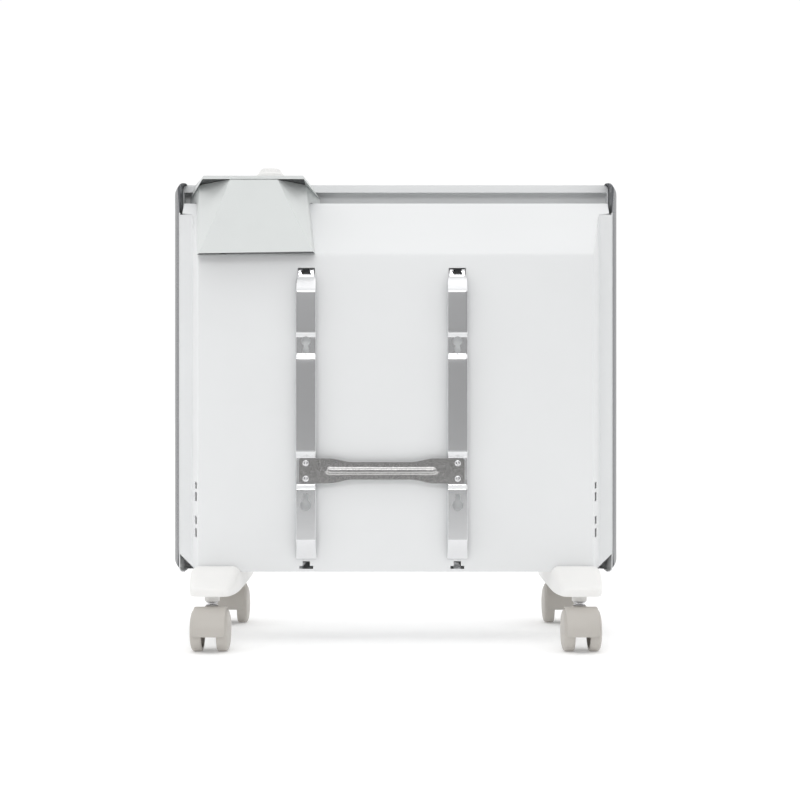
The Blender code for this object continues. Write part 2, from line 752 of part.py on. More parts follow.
def brace_screws():
    """Pan-head screws with a cross recess, which hold the brace on the uprights."""
    outer = brace_face() + GAP
    rise = 0.0022
    head = SCREW_HEAD / 2
    shank = SCREW_SHANK / 2
    for side, centre in zip(("left", "right"), upright_centres()):
        for level, dz in (("upper", SCREW_SPREAD / 2), ("lower", -SCREW_SPREAD / 2)):
            profile = [
                (0, outer - BRACE_SHEET - 0.004),
                (shank, outer - BRACE_SHEET - 0.004),
                (shank, outer),
                (head, outer),
                (head, outer + rise * 0.45),
                (head * 0.72, outer + rise * 0.85),
                (0, outer + rise),
            ]
            z = CASING_BOTTOM + BRACE_RISE + dz
            place(f"brace_screw_{side}_{level}", turned(profile, 12, "Y", (centre, 0, z)), steel())


PLUG_X = 0.146


def grommet_y():
    """The middle of the unit's underside, between the back and the rear wall."""
    return BACK_Y + (UNIT_OVERHANG - UNIT_WALL) / 2


def unit_rim():
    """The lid's lower edge, which is also the housing's upper edge, as named points."""
    edge = PANEL_TOP - LID_EDGE
    front = LIP_Y + GAP
    return {
        "prow_left": (UNIT_PROW_LEFT, UNIT_REAR_TOP, edge),
        "prow_right": (UNIT_PROW_RIGHT, UNIT_REAR_TOP, edge),
        "shoulder_left": (*UNIT_SHOULDER_LEFT, edge),
        "shoulder_right": (*UNIT_SHOULDER_RIGHT, edge),
        "side_left": (UNIT_FRONT_LEFT, front, PANEL_TOP - LID_SIDE_DROP),
        "side_right": (UNIT_RIGHT - 0.001, front, PANEL_TOP - LID_SIDE_DROP),
    }


def unit_solid():
    """The faceted housing from its rim down past the deflector, before it is hollowed."""
    rim = unit_rim()
    rear = BACK_Y + UNIT_OVERHANG
    points = []
    for name in ("prow_left", "prow_right", "shoulder_right", "side_right", "side_left", "shoulder_left"):
        x, y, z = rim[name]
        points.append((x, y, z - GAP))
    low_left = (UNIT_REAR_LEFT, rear, CREASE_Z - UNIT_BOTTOM_TILT)
    low_right = (UNIT_RIGHT + 0.0012, rear, CREASE_Z + UNIT_BOTTOM_TILT)
    front = LIP_Y + GAP
    points += [
        low_left,
        low_right,
        (UNIT_RIGHT, BACK_Y, CREASE_Z + UNIT_BOTTOM_TILT),
        (UNIT_RIGHT - 0.001, front, CREASE_Z + UNIT_BOTTOM_TILT),
        (UNIT_FRONT_LEFT, front, CREASE_Z - UNIT_BOTTOM_TILT),
        (UNIT_REAR_LEFT + 0.0045, BACK_Y, CREASE_Z - UNIT_BOTTOM_TILT),
    ]
    faces = [
        (0, 1, 7, 6),
        (1, 2, 7),
        (2, 3, 9),
        (2, 9, 8),
        (2, 8, 7),
        (0, 6, 5),
        (5, 6, 11),
        (5, 11, 10),
        (5, 10, 4),
        (3, 4, 10, 9),
        (6, 7, 8, 11),
        (8, 9, 10, 11),
        (0, 5, 2, 1),
        (5, 4, 3, 2),
    ]
    return solid(points, faces)


def unit_hollow():
    """The room inside the housing: a block cut back to one wall's thickness behind every outer face."""
    outer = unit_solid()
    room = box((0, FRONT_Y, CREASE_Z - 0.02), (HALF, BACK_Y + 0.03, PANEL_TOP + 0.01))
    for face in outer.faces:
        normal = face.normal.copy()
        if normal.z > 0.7:
            continue
        cut = bmesh.ops.bisect_plane(
            room,
            geom=room.verts[:] + room.edges[:] + room.faces[:],
            plane_co=face.calc_center_median() - normal * UNIT_WALL,
            plane_no=normal,
            clear_outer=True,
        )
        rim = [item for item in cut["geom_cut"] if isinstance(item, bmesh.types.BMEdge)]
        bmesh.ops.edgenet_fill(room, edges=rim)
    outer.free()
    bmesh.ops.recalc_face_normals(room, faces=room.faces)
    return room


def casing_clearance(extra):
    """A block the shape of the casing under the unit, grown by a gap, that the housing sits on."""
    grow = GAP + extra
    top = DEFLECTOR_TOP + grow * 1.5
    outline = [
        (BACK_Y + grow, CASING_BOTTOM),
        (BACK_Y + grow, CREASE_Z + grow * 0.3),
        (deflector_y(DEFLECTOR_TOP) + grow, top),
        (FRONT_Y - 0.01, top),
        (FRONT_Y - 0.01, CASING_BOTTOM),
    ]
    return prism(outline, "X", -HALF, HALF)


def control_housing():
    """The faceted moulded shell that clips over the crease, open at the top where the lid closes it."""
    housing = place("control_housing", unit_solid(), unit_plastic())
    boolean(housing, casing_clearance(0), "DIFFERENCE", "cut_unit_seat")
    hollow = place("unit_hollow", unit_hollow(), unit_plastic())
    hollow.hide_render = True
    hollow.display_type = "WIRE"
    boolean(hollow, casing_clearance(UNIT_WALL), "DIFFERENCE", "cut_hollow_seat")
    inside = housing.modifiers.new("inside", "BOOLEAN")
    inside.operation = "DIFFERENCE"
    inside.object = hollow
    holes = [
        rod(GROMMET_DIAMETER / 2, CREASE_Z - 0.02, CREASE_Z + 0.005, "Z", (GROMMET_X, grommet_y(), 0), 20),
        box(
            (PLUG_X - 0.012, deflector_y(CREASE_Z + 0.020) - 0.006, CREASE_Z + 0.008),
            (PLUG_X + 0.012, deflector_y(CREASE_Z + 0.020) + 0.006, CREASE_Z + 0.045),
        ),
    ]
    boolean(housing, merged(*holes), "DIFFERENCE", "cut_housing_holes")


def lid_shape():
    """The lid: flat on top, with its rear corners overhanging and its sides sloping down to the rim."""
    rim = unit_rim()
    edge = PANEL_TOP - LID_EDGE
    front = LIP_Y + GAP
    right, left = LID_REAR
    top = PANEL_TOP - GAP
    points = [
        (left, UNIT_REAR_TOP + 0.0004, edge),
        (right, UNIT_REAR_TOP + 0.0004, edge),
        rim["shoulder_right"],
        rim["side_right"],
        rim["side_left"],
        rim["shoulder_left"],
        (left - 0.001, UNIT_REAR_TOP + 0.0002, top),
        (right + 0.001, UNIT_REAR_TOP + 0.0002, top),
        (UNIT_RIGHT + LID_TOP_INSET[0], front, top),
        (UNIT_FRONT_LEFT - LID_TOP_INSET[1], front, top),
    ]
    faces = [
        (0, 1, 2, 5),
        (2, 3, 4, 5),
        (0, 6, 7, 1),
        (6, 9, 8, 7),
        (3, 8, 9, 4),
        (1, 7, 8, 3),
        (1, 3, 2),
        (0, 4, 9, 6),
        (0, 5, 4),
    ]
    return solid(points, faces)


def control_lid():
    """The solid-topped cap of the unit, with the holes for the shaft, the switch and the lamp."""
    lid = place("control_lid", lid_shape(), unit_plastic())
    half_x = SWITCH_SIZE[0] / 2 - 0.0015
    half_y = SWITCH_SIZE[1] / 2 - 0.0015
    holes = [
        rod(SHAFT_DIAMETER / 2 + 0.0005, PANEL_TOP - 0.03, PANEL_TOP + 0.01, "Z", (KNOB_X, KNOB_Y, 0), 20),
        rod(LAMP_DIAMETER / 2 + GAP, PANEL_TOP - 0.03, PANEL_TOP + 0.01, "Z", (LAMP_X, LAMP_Y, 0), 16),
        box(
            (SWITCH_X - half_x, SWITCH_Y - half_y, PANEL_TOP - 0.03),
            (SWITCH_X + half_x, SWITCH_Y + half_y, PANEL_TOP + 0.01),
        ),
    ]
    boolean(lid, merged(*holes), "DIFFERENCE", "cut_lid_holes")


def thermostat():
    """The thermostat's body under the lid, with a collar round its shaft, and the shaft that the knob turns."""
    under = PANEL_TOP - LID_EDGE - GAP
    low = under - 0.016
    body = box((KNOB_X - 0.013, KNOB_Y - 0.013, low), (KNOB_X + 0.013, KNOB_Y + 0.013, under))
    case = place("thermostat_body", body, black_plastic())
    bore = rod(SHAFT_DIAMETER / 2 + GAP, low + 0.008, under + 0.01, "Z", (KNOB_X, KNOB_Y, 0), 20)
    boolean(case, bore, "DIFFERENCE", "cut_thermostat_bore")
    shaft = rod(
        SHAFT_DIAMETER / 2, low + 0.008 + GAP, PANEL_TOP + KNOB_HEIGHT - 0.003, "Z", (KNOB_X, KNOB_Y, 0), 16
    )
    place("thermostat_shaft", shaft, steel(), (KNOB_X, KNOB_Y, PANEL_TOP))


def thermostat_knob():
    """The knob: a scalloped grip that narrows upwards to a flat top, on the shaft's end."""
    low = PANEL_TOP + GAP
    sides = KNOB_LOBES * 3
    mesh = bmesh.new()
    levels = [
        (0.90, 0.0),
        (1.00, 0.0012),
        (0.97, 0.0045),
        (0.80, 0.0060),
        (0.70, KNOB_HEIGHT - 0.0016),
        (0.62, KNOB_HEIGHT - GAP),
    ]
    rings = []
    for share, rise in levels:
        ring = []
        for i in range(sides):
            angle = 2 * math.pi * i / sides
            scallop = 1 - 0.035 * (0.5 - 0.5 * math.cos(KNOB_LOBES * angle))
            radius = KNOB_DIAMETER / 2 * share * scallop
            x = KNOB_X + radius * math.cos(angle)
            y = KNOB_Y + radius * math.sin(angle)
            ring.append(mesh.verts.new((x, y, low + rise)))
        rings.append(ring)
    for lower, upper in zip(rings, rings[1:]):
        for i in range(sides):
            j = (i + 1) % sides
            mesh.faces.new((lower[i], lower[j], upper[j], upper[i]))
    mesh.faces.new(rings[0])
    mesh.faces.new(rings[-1])
    bmesh.ops.recalc_face_normals(mesh, faces=mesh.faces)
    knob = place("thermostat_knob", mesh, warm_plastic(), (KNOB_X, KNOB_Y, PANEL_TOP))
    bore_top = PANEL_TOP + KNOB_HEIGHT - 0.003 + GAP
    bore = rod(SHAFT_DIAMETER / 2 + GAP, PANEL_TOP - 0.01, bore_top, "Z", (KNOB_X, KNOB_Y, 0), 20)
    boolean(knob, bore, "DIFFERENCE", "cut_knob_bore")


def power_switch():
    """A rocker in a snap-in frame, pivoting about a line along X through its middle."""
    half_x, half_y = SWITCH_SIZE[0] / 2, SWITCH_SIZE[1] / 2
    low = PANEL_TOP + GAP - 0.0003
    flange = box(
        (SWITCH_X - half_x, SWITCH_Y - half_y, low), (SWITCH_X + half_x, SWITCH_Y + half_y, low + 0.0012)
    )
    frame = place("switch_frame", flange, black_plastic())
    neck = box(
        (SWITCH_X - half_x + 0.0018, SWITCH_Y - half_y + 0.0018, PANEL_TOP - 0.016),
        (SWITCH_X + half_x - 0.0018, SWITCH_Y + half_y - 0.0018, low + 0.0006),
    )
    boolean(frame, neck, "UNION", "add_switch_neck")
    hole = box(
        (SWITCH_X - half_x + 0.0028, SWITCH_Y - half_y + 0.0028, PANEL_TOP - 0.008),
        (SWITCH_X + half_x - 0.0028, SWITCH_Y + half_y - 0.0028, PANEL_TOP + 0.01),
    )
    boolean(frame, hole, "DIFFERENCE", "cut_switch_hole")
    reach = half_y - 0.0036
    pivot = PANEL_TOP - 0.0028
    tilt = math.radians(ROCKER_TILT / 2)
    rocker = [
        (-reach, 0.0026),
        (0, 0.0040),
        (reach, 0.0026),
        (reach - 0.0004, 0.0),
        (0.0024, -0.0020),
        (-0.0024, -0.0020),
        (-reach + 0.0004, 0.0),
    ]
    turned_points = []
    for y, z in rocker:
        across = y * math.cos(tilt) - z * math.sin(tilt)
        up = y * math.sin(tilt) + z * math.cos(tilt)
        turned_points.append((SWITCH_Y + across, pivot + up))
    body = prism(turned_points, "X", SWITCH_X - half_x + 0.0031, SWITCH_X + half_x - 0.0031)
    place("power_rocker", body, black_plastic(), (SWITCH_X, SWITCH_Y, pivot))


def pilot_lamp():
    radius = LAMP_DIAMETER / 2
    profile = [
        (0, PANEL_TOP - 0.014),
        (radius, PANEL_TOP - 0.014),
        (radius, PANEL_TOP),
        (radius * 0.8, PANEL_TOP + 0.0008),
        (0, PANEL_TOP + 0.0012),
    ]
    place("pilot_lamp", turned(profile, 16, "Z", (LAMP_X, LAMP_Y, 0)), red_lens())


def cord_grommet():
    """The rubber ring in the unit's underside through which the mains lead enters."""
    outer = GROMMET_DIAMETER / 2 - GAP
    bore = outer - 0.0012
    low = CREASE_Z - 0.0005
    high = CREASE_Z + 0.0040
    profile = [(bore, low), (outer, low), (outer, high), (bore, high)]
    place("cord_grommet", turned(profile, 20, "Z", (GROMMET_X, grommet_y(), 0)), black_plastic())


def plug_and_socket():
    """The unit's plug reaches through the deflector into the socket that is fixed inside the casing."""
    y = deflector_y(CREASE_Z + 0.020)
    plug = box((PLUG_X - 0.0105, y - 0.0048, CREASE_Z - 0.004), (PLUG_X + 0.0105, y + 0.0048, CREASE_Z + 0.043))
    place("control_plug", plug, black_plastic())
    low = CREASE_Z - 0.018
    socket = place(
        "casing_socket",
        box((PLUG_X - 0.015, y - 0.009, low), (PLUG_X + 0.015, y + 0.009, CREASE_Z + 0.006)),
        black_plastic(),
    )
    pocket = box(
        (PLUG_X - 0.0105 - GAP, y - 0.0048 - GAP, CREASE_Z - 0.004 - GAP),
        (PLUG_X + 0.0105 + GAP, y + 0.0048 + GAP, CREASE_Z + 0.02),
    )
    boolean(socket, pocket, "DIFFERENCE", "cut_socket_pocket")


def element_z():
    return CASING_BOTTOM + ELEMENT_RISE


def heating_element():
    """A cast aluminium bar with tall fins along it, whose round ends sit in the ceramic insulators."""
    mesh = bmesh.new()
    core = ELEMENT_CORE / 2
    wide, tall = ELEMENT_SIZE[0] / 2, ELEMENT_SIZE[1] / 2
    z = element_z()
    steps = 8

    def ring(x, half_y, half_z):
        made = []
        for i in range(steps):
            angle = 2 * math.pi * (i + 0.5) / steps
            y = half_y * math.cos(angle) / math.cos(math.pi / steps)
            up = half_z * math.sin(angle) / math.cos(math.pi / steps)
            made.append(mesh.verts.new((x, ELEMENT_Y + y, z + up)))
        return made

    rings = []
    end = ELEMENT_LENGTH / 2
    stub = core * 0.7
    rings.append(ring(-end, stub, stub))
    rings.append(ring(-end + 0.020, stub, stub))
    rings.append(ring(-end + 0.020, core, core))
    pitch = (ELEMENT_LENGTH - 0.060) / (ELEMENT_FINS - 1)
    for i in range(ELEMENT_FINS):
        x = -end + 0.030 + i * pitch
        rings.append(ring(x - ELEMENT_FIN / 2, core, core))
        rings.append(ring(x - ELEMENT_FIN / 2, wide, tall))
        rings.append(ring(x + ELEMENT_FIN / 2, wide, tall))
        rings.append(ring(x + ELEMENT_FIN / 2, core, core))
    rings.append(ring(end - 0.020, core, core))
    rings.append(ring(end - 0.020, stub, stub))
    rings.append(ring(end, stub, stub))
    for low, high in zip(rings, rings[1:]):
        for i in range(steps):
            j = (i + 1) % steps
            mesh.faces.new((low[i], low[j], high[j], high[i]))
    mesh.faces.new(rings[0])
    mesh.faces.new(rings[-1])
    bmesh.ops.recalc_face_normals(mesh, faces=mesh.faces)
    place("heating_element", mesh, aluminium())


def element_mountings():
    """At each end of the element, a folded steel support that stands on the bottom plate, and an insulator."""
    z = element_z()
    bore = ELEMENT_CORE / 2 * 0.7 / math.cos(math.pi / 8) + GAP
    outer = INSULATOR_DIAMETER / 2
    foot = CASING_BOTTOM + GAP + SHEET + GAP
    for name, side in (("left", 1), ("right", -1)):
        inner_x = side * (ELEMENT_LENGTH / 2 - 0.016)
        outer_x = inner_x + side * INSULATOR_LENGTH
        low, high = sorted((inner_x, outer_x))
        ring = turned([(bore, low), (outer, low), (outer, high), (bore, high)], 16, "X", (0, ELEMENT_Y, z))
        place(f"element_insulator_{name}", ring, ceramic())
        middle = (low + high) / 2
        half = SUPPORT_THICKNESS / 2
        plate = box(
            (middle - half, ELEMENT_Y - 0.020, foot), (middle + half, ELEMENT_Y + 0.020, z + 0.020)
        )
        support = place(f"element_support_{name}", plate, zinc())
        flange = box(
            (min(middle, middle - side * 0.012), ELEMENT_Y - 0.020, foot),
            (max(middle, middle - side * 0.012), ELEMENT_Y + 0.020, foot + SUPPORT_THICKNESS),
        )
        boolean(support, flange, "UNION", f"add_support_flange_{name}")
        seat = rod(outer + GAP, low - 0.01, high + 0.01, "X", (0, ELEMENT_Y, z), 24)
        boolean(support, seat, "DIFFERENCE", f"cut_support_{name}")


def heat_shield():
    """A thin plate between the element and the back, with its top edge folded forward."""
    half = BACK_HALF - 0.020
    low = CASING_BOTTOM + SHIELD_RISE
    high = CREASE_Z - SHIELD_DROP
    outline = [
        (SHIELD_Y, low),
        (SHIELD_Y + 0.0008, low),
        (SHIELD_Y + 0.0008, high + 0.0008),
        (SHIELD_Y - 0.010, high + 0.0068),
        (SHIELD_Y - 0.0104, high + 0.0060),
        (SHIELD_Y, high),
    ]
    place("heat_shield", prism(outline, "X", -half, half), zinc())


def safety_parts():
    """The overheat cutout on the shield above the element, and the tilt switch on the bottom plate."""
    z = element_z() + ELEMENT_SIZE[1] / 2 + 0.030
    face = SHIELD_Y - GAP
    cutout = turned(
        [(0, face - 0.011), (0.007, face - 0.011), (0.008, face - 0.009), (0.008, face), (0, face)],
        16,
        "Y",
        (-0.090, 0, z),
    )
    place("overheat_cutout", cutout, black_plastic())
    floor = CASING_BOTTOM + GAP + SHEET + GAP
    x = -(FOOT_X + 0.006)
    switch = box((x - 0.007, 0.015, floor), (x + 0.005, 0.035, floor + 0.028))
    place("tilt_switch", switch, black_plastic())


def foot_screw_places():
    return (PANEL_INNER_Y + 0.020, BACK_Y - 0.016)


def foot_profile():
    """Lengths and heights along the foot's top: long slopes at both ends, a notch under the panel, a lip behind the back."""
    lip_y = BACK_Y + GAP
    under_panel = PANEL_BOTTOM - GAP
    notch_y = FRONT_Y + TOP_RETURN + 0.003
    return [
        (FOOT_REAR, FOOT_END_TOP),
        (FOOT_REAR - 0.0420, FOOT_TOP + FOOT_LIP - 0.0012),
        (FOOT_REAR - 0.0465, FOOT_TOP + FOOT_LIP),
        (lip_y + 0.0004, FOOT_TOP + FOOT_LIP),
        (lip_y, FOOT_TOP),
        (notch_y, FOOT_TOP),
        (notch_y - 0.0002, under_panel),
        (FRONT_Y - 0.010, under_panel),
        (FOOT_FRONT, FOOT_END_TOP),
    ]


def foot_half(y):
    """Half the foot's width along its length: bowed sides, w = end + (middle - end) (1 - s^6), and rounded corners."""
    middle = (FOOT_REAR + FOOT_FRONT) / 2
    reach = (FOOT_REAR - FOOT_FRONT) / 2
    share = abs(y - middle) / reach
    bowed = FOOT_END_WIDTH / 2 + (FOOT_WIDTH - FOOT_END_WIDTH) / 2 * (1 - share**6)
    short = 0.005 - (reach - abs(y - middle))
    return bowed - (0.005 - math.sqrt(0.005**2 - short**2) if short > 0 else 0)


def foot(name, side):
    """A moulded foot across the depth of the heater, hollow below, with a castor socket near each end."""
    x = side * FOOT_X
    half = FOOT_END_WIDTH / 2
    profile = foot_profile()
    lengths = [y for y, z in profile]
    extra = [FOOT_REAR - d for d in (0.0004, 0.0015, 0.005, 0.012, 0.022, 0.034)]
    extra += [FOOT_FRONT + d for d in (0.0004, 0.0015, 0.005, 0.012, 0.022, 0.034, 0.05)]
    rings = []
    for y in sorted(set(lengths + extra), reverse=True):
        index = max(i for i, station in enumerate(lengths) if station >= y - 1e-9)
        near, far = profile[index], profile[min(index + 1, len(profile) - 1)]
        share = (near[0] - y) / (near[0] - far[0]) if near[0] > far[0] else 0
        top = near[1] + (far[1] - near[1]) * share
        seated = BACK_Y + GAP > y - 1e-9 and y > FRONT_Y - 0.0101
        drop = 0.0004 if seated else min(0.0060, 0.3 * (top - FOOT_BOTTOM))
        wide = foot_half(y)
        flat = wide - (0.0004 if seated else FOOT_BEVEL)
        section = [(-wide, FOOT_BOTTOM), (wide, FOOT_BOTTOM), (wide, top - drop), (flat, top), (-flat, top), (-wide, top - drop)]
        rings.append([(x + u, y, z) for u, z in section])
    made = place(name, loft(rings), warm_plastic())
    pocket = box(
        (x - half + 0.003, STEM_FRONT + 0.014, FOOT_BOTTOM - 0.002),
        (x + half - 0.003, STEM_REAR - 0.014, FOOT_BOTTOM + 0.0075),
    )
    boolean(made, pocket, "DIFFERENCE", "cut_pocket_" + name)
    bosses = []
    bores = []
    for y in (STEM_REAR, STEM_FRONT):
        bosses.append(rod(SOCKET_DIAMETER / 2, SOCKET_BOTTOM, FOOT_BOTTOM + 0.001, "Z", (x, y, 0), 20))
        bores.append(rod(STEM_DIAMETER / 2 + GAP, SOCKET_BOTTOM - 0.01, FOOT_BOTTOM + 0.0062, "Z", (x, y, 0), 16))
    for y in foot_screw_places():
        bores.append(rod(0.0018, FOOT_BOTTOM - 0.002, FOOT_TOP + 0.01, "Z", (x, y, 0), 12))
    boolean(made, merged(*bosses), "UNION", "add_sockets_" + name)
    boolean(made, merged(*bores), "DIFFERENCE", "cut_bores_" + name)


def foot_screws():
    """Screws from below, through each foot into the bottom plate."""
    head_top = FOOT_BOTTOM + 0.0075 - GAP
    for name, side in (("left", 1), ("right", -1)):
        for end, y in zip(("front", "rear"), foot_screw_places()):
            profile = [
                (0, head_top - 0.0022),
                (0.0026, head_top - 0.0022),
                (0.0034, head_top - 0.0010),
                (0.0034, head_top),
                (0.0015, head_top),
                (0.0015, CASING_BOTTOM + 0.0040),
                (0, CASING_BOTTOM + 0.0046),
            ]
            place(f"foot_screw_{name}_{end}", turned(profile, 12, "Z", (side * FOOT_X, y, 0)), steel())


def castor_hood(stem, axle):
    """The castor's body: a curved hood over both wheels, and a web between them with the stem's seat."""
    x, y, z = axle
    outer = arc((y, z), HOOD_RADIUS, 118, -7, 11)
    inner = arc((y, z), HOOD_RADIUS - HOOD_WALL, -7, 118, 11)
    hood = prism(outer + inner, "X", x - HOOD_WIDTH / 2, x + HOOD_WIDTH / 2)
    web = (
        arc((y, z), 0.0062, 180, 330, 6)
        + [(y + 0.0180, z + 0.0060)]
        + arc((y, z), HOOD_RADIUS - HOOD_WALL / 2, 22, 112, 6)
        + [(stem[1] - 0.0070, z + 0.0190), (stem[1] - 0.0070, z + 0.0120)]
    )
    web = prism(web, "X", x - 0.0045, x + 0.0045)
    seat = rod(0.0068, z + 0.0120, z + HOOD_RADIUS - GAP, "Z", (stem[0], stem[1], 0), 16)
    return hood, web, seat


def castor(name, x, y):
    """A twin-wheel castor: stem, hood, axle and two wheels. The empties stand on its two joint axes."""
    stem_at = (x, y, SOCKET_BOTTOM)
    axle_at = (x, y + TRAIL, WHEEL_RADIUS)
    swivel = bpy.data.objects.new(f"{name}_swivel", None)
    swivel.location = stem_at
    bpy.context.scene.collection.objects.link(swivel)
    hood, web, seat = castor_hood(stem_at, axle_at)
    body = place(f"{name}_hood", hood, castor_plastic(), stem_at, swivel)
    boolean(body, web, "UNION", f"add_web_{name}")
    boolean(body, seat, "UNION", f"add_seat_{name}")
    bores = merged(
        rod(AXLE_DIAMETER / 2 + GAP, x - 0.03, x + 0.03, "X", (0, *axle_at[1:]), 16),
        rod(STEM_DIAMETER / 2 + GAP, STEM_BOTTOM - GAP, HOOD_TOP + 0.02, "Z", (x, y, 0), 12),
    )
    boolean(body, bores, "DIFFERENCE", f"cut_bores_{name}")
    collar = SOCKET_BOTTOM - GAP
    radius = STEM_DIAMETER / 2
    profile = [
        (0, STEM_BOTTOM),
        (radius, STEM_BOTTOM),
        (radius, HOOD_TOP),
        (0.0058, HOOD_TOP),
        (0.0058, HOOD_TOP + 0.0009),
        (radius, HOOD_TOP + 0.0016),
        (radius, collar - 0.0014),
        (0.0060, collar - 0.0011),
        (0.0060, collar),
        (radius, collar),
        (radius, FOOT_BOTTOM + 0.0058),
        (0, FOOT_BOTTOM + 0.0058),
    ]
    place(f"{name}_stem", turned(profile, 12, "Z", (x, y, 0)), steel(), stem_at, swivel)
    pin_end = WHEEL_INNER + WHEEL_WIDTH - 0.0030
    place(
        f"{name}_axle",
        rod(AXLE_DIAMETER / 2, x - pin_end, x + pin_end, "X", (0, *axle_at[1:]), 12),
        steel(),
        axle_at,
        swivel,
    )
    for label, side in (("left", 1), ("right", -1)):
        wheel = castor_wheel(axle_at, side)
        place(f"{name}_wheel_{label}", wheel, castor_plastic(), axle_at, swivel)


def castor_wheel(axle, side):
    """A cup-shaped wheel: hub and rim open inwards, a domed disc outwards. A flat of its rim is lowest."""
    flat = 1 / math.cos(math.pi / WHEEL_SIDES)
    radius = WHEEL_RADIUS * flat
    wide = WHEEL_WIDTH
    profile = [
        (0, wide - 0.0026),
        (AXLE_DIAMETER / 2 + GAP, wide - 0.0026),
        (AXLE_DIAMETER / 2 + GAP, 0.0),
        (0.0045, 0.0),
        (0.0045, wide - 0.0045),
        (radius - 0.0034, wide - 0.0052),
        (radius - 0.0030, 0.0),
        (radius - 0.0010, 0.0),
        (radius, 0.0012),
        (radius, wide - 0.0042),
        (radius - 0.0022, wide - 0.0018),
        (0.0120, wide - 0.0004),
        (0, wide),
    ]
    placed = [(r, axle[0] + side * (WHEEL_INNER + h)) for r, h in profile]
    return turned(placed, WHEEL_SIDES, "X", (0, axle[1], axle[2]), math.pi / WHEEL_SIDES)


def build():
    clear_scene()
    front_panel()
    outlet_grille()
    side_trim("side_trim_left", 1)
    side_trim("side_trim_right", -1)
    rear_casing()
    inlet_grille()
    left, right = upright_centres()
    bracket_upright("bracket_upright_left", left)
    bracket_upright("bracket_upright_right", right)
    bracket_brace()
    brace_screws()
    control_housing()
    control_lid()
    thermostat()
    thermostat_knob()
    power_switch()
    pilot_lamp()
    cord_grommet()
    plug_and_socket()
    heating_element()
    element_mountings()
    heat_shield()
    safety_parts()
    foot("foot_left", 1)
    foot("foot_right", -1)
    foot_screws()
    for side_name, side in (("left", 1), ("right", -1)):
        castor(f"castor_rear_{side_name}", side * FOOT_X, STEM_REAR)
        castor(f"castor_front_{side_name}", side * FOOT_X, STEM_FRONT)


build()
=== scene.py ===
"""Slim panel convector heater on castors, with its wall bracket carried on its back. Metres, +Z up.

The front panel faces -Y, the back faces +Y, and the control unit is at the +X end.
"""

import bmesh
import bpy
import numpy as np
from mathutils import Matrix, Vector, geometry


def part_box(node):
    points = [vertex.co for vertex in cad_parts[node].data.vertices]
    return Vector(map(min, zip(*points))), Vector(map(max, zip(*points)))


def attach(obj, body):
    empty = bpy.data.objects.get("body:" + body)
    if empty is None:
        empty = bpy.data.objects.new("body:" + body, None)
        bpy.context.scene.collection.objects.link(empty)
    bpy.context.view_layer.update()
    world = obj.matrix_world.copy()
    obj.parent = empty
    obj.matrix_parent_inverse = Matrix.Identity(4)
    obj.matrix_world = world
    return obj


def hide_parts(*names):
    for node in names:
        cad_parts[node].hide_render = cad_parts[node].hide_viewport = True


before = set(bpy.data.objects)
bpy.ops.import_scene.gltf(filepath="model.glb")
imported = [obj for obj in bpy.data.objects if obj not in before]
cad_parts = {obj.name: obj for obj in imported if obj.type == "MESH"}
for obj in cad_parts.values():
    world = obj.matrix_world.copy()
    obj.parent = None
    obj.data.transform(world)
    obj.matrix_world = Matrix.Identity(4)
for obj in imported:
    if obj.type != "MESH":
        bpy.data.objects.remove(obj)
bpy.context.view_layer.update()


# CAMERA. A level camera straight behind the heater, at the middle of its height, with a long lens.

camera_data = bpy.data.cameras.new("camera")
camera_data.lens = 72.2
camera_data.sensor_width = 36
camera_data.shift_x = 0.0053
camera = bpy.data.objects.new("camera", camera_data)
camera.location = (0, 1.6435, 0.2405)
camera.rotation_euler = (np.pi / 2, 0, np.pi)
bpy.context.scene.collection.objects.link(camera)
bpy.context.scene.camera = camera


# REAR CASING. The back of the heater is one sheet of 1 mm steel, folded and powder coated white. It
# has a tall back, a slope that leads the warm air forward, two steep sides with slots, and flanges
# that hook into the front panel. The slots for the wall bracket are punched before it is folded.

casing_low, casing_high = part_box("rear_casing")
back_y = casing_high[1]
casing_bottom = casing_low[2]
casing_top = casing_high[2]
cheek_edge = casing_high[0]
cheek_y = back_y - 0.050
back_half = 0.1964
cheek_half = 0.2075
wing_half = 0.2180
shelf_front = -0.040
wing_step = 0.0012
flange_start = 0.013
crease_z = 0.385
cheek_top = 0.430
sheet = 0.001
slope_run, slope_rise = 50, 45
bracket_places = (0.08855, -0.06095)


def grid_quads(rows, columns, round_columns=False, round_rows=False):
    """Corner numbers of the quads of a grid of points, row by row: each point, its neighbour along
    the row, and the two beyond them in the next row. A round direction joins its end to its start."""
    down = np.arange(rows if round_rows else rows - 1)[:, None]
    along = np.arange(columns if round_columns else columns - 1)[None, :]
    next_down = (down + 1) % rows
    next_along = (along + 1) % columns
    corners = (
        down * columns + along,
        down * columns + next_along,
        next_down * columns + next_along,
        next_down * columns + along,
    )
    return np.stack(np.broadcast_arrays(*corners), -1).reshape(-1, 4)


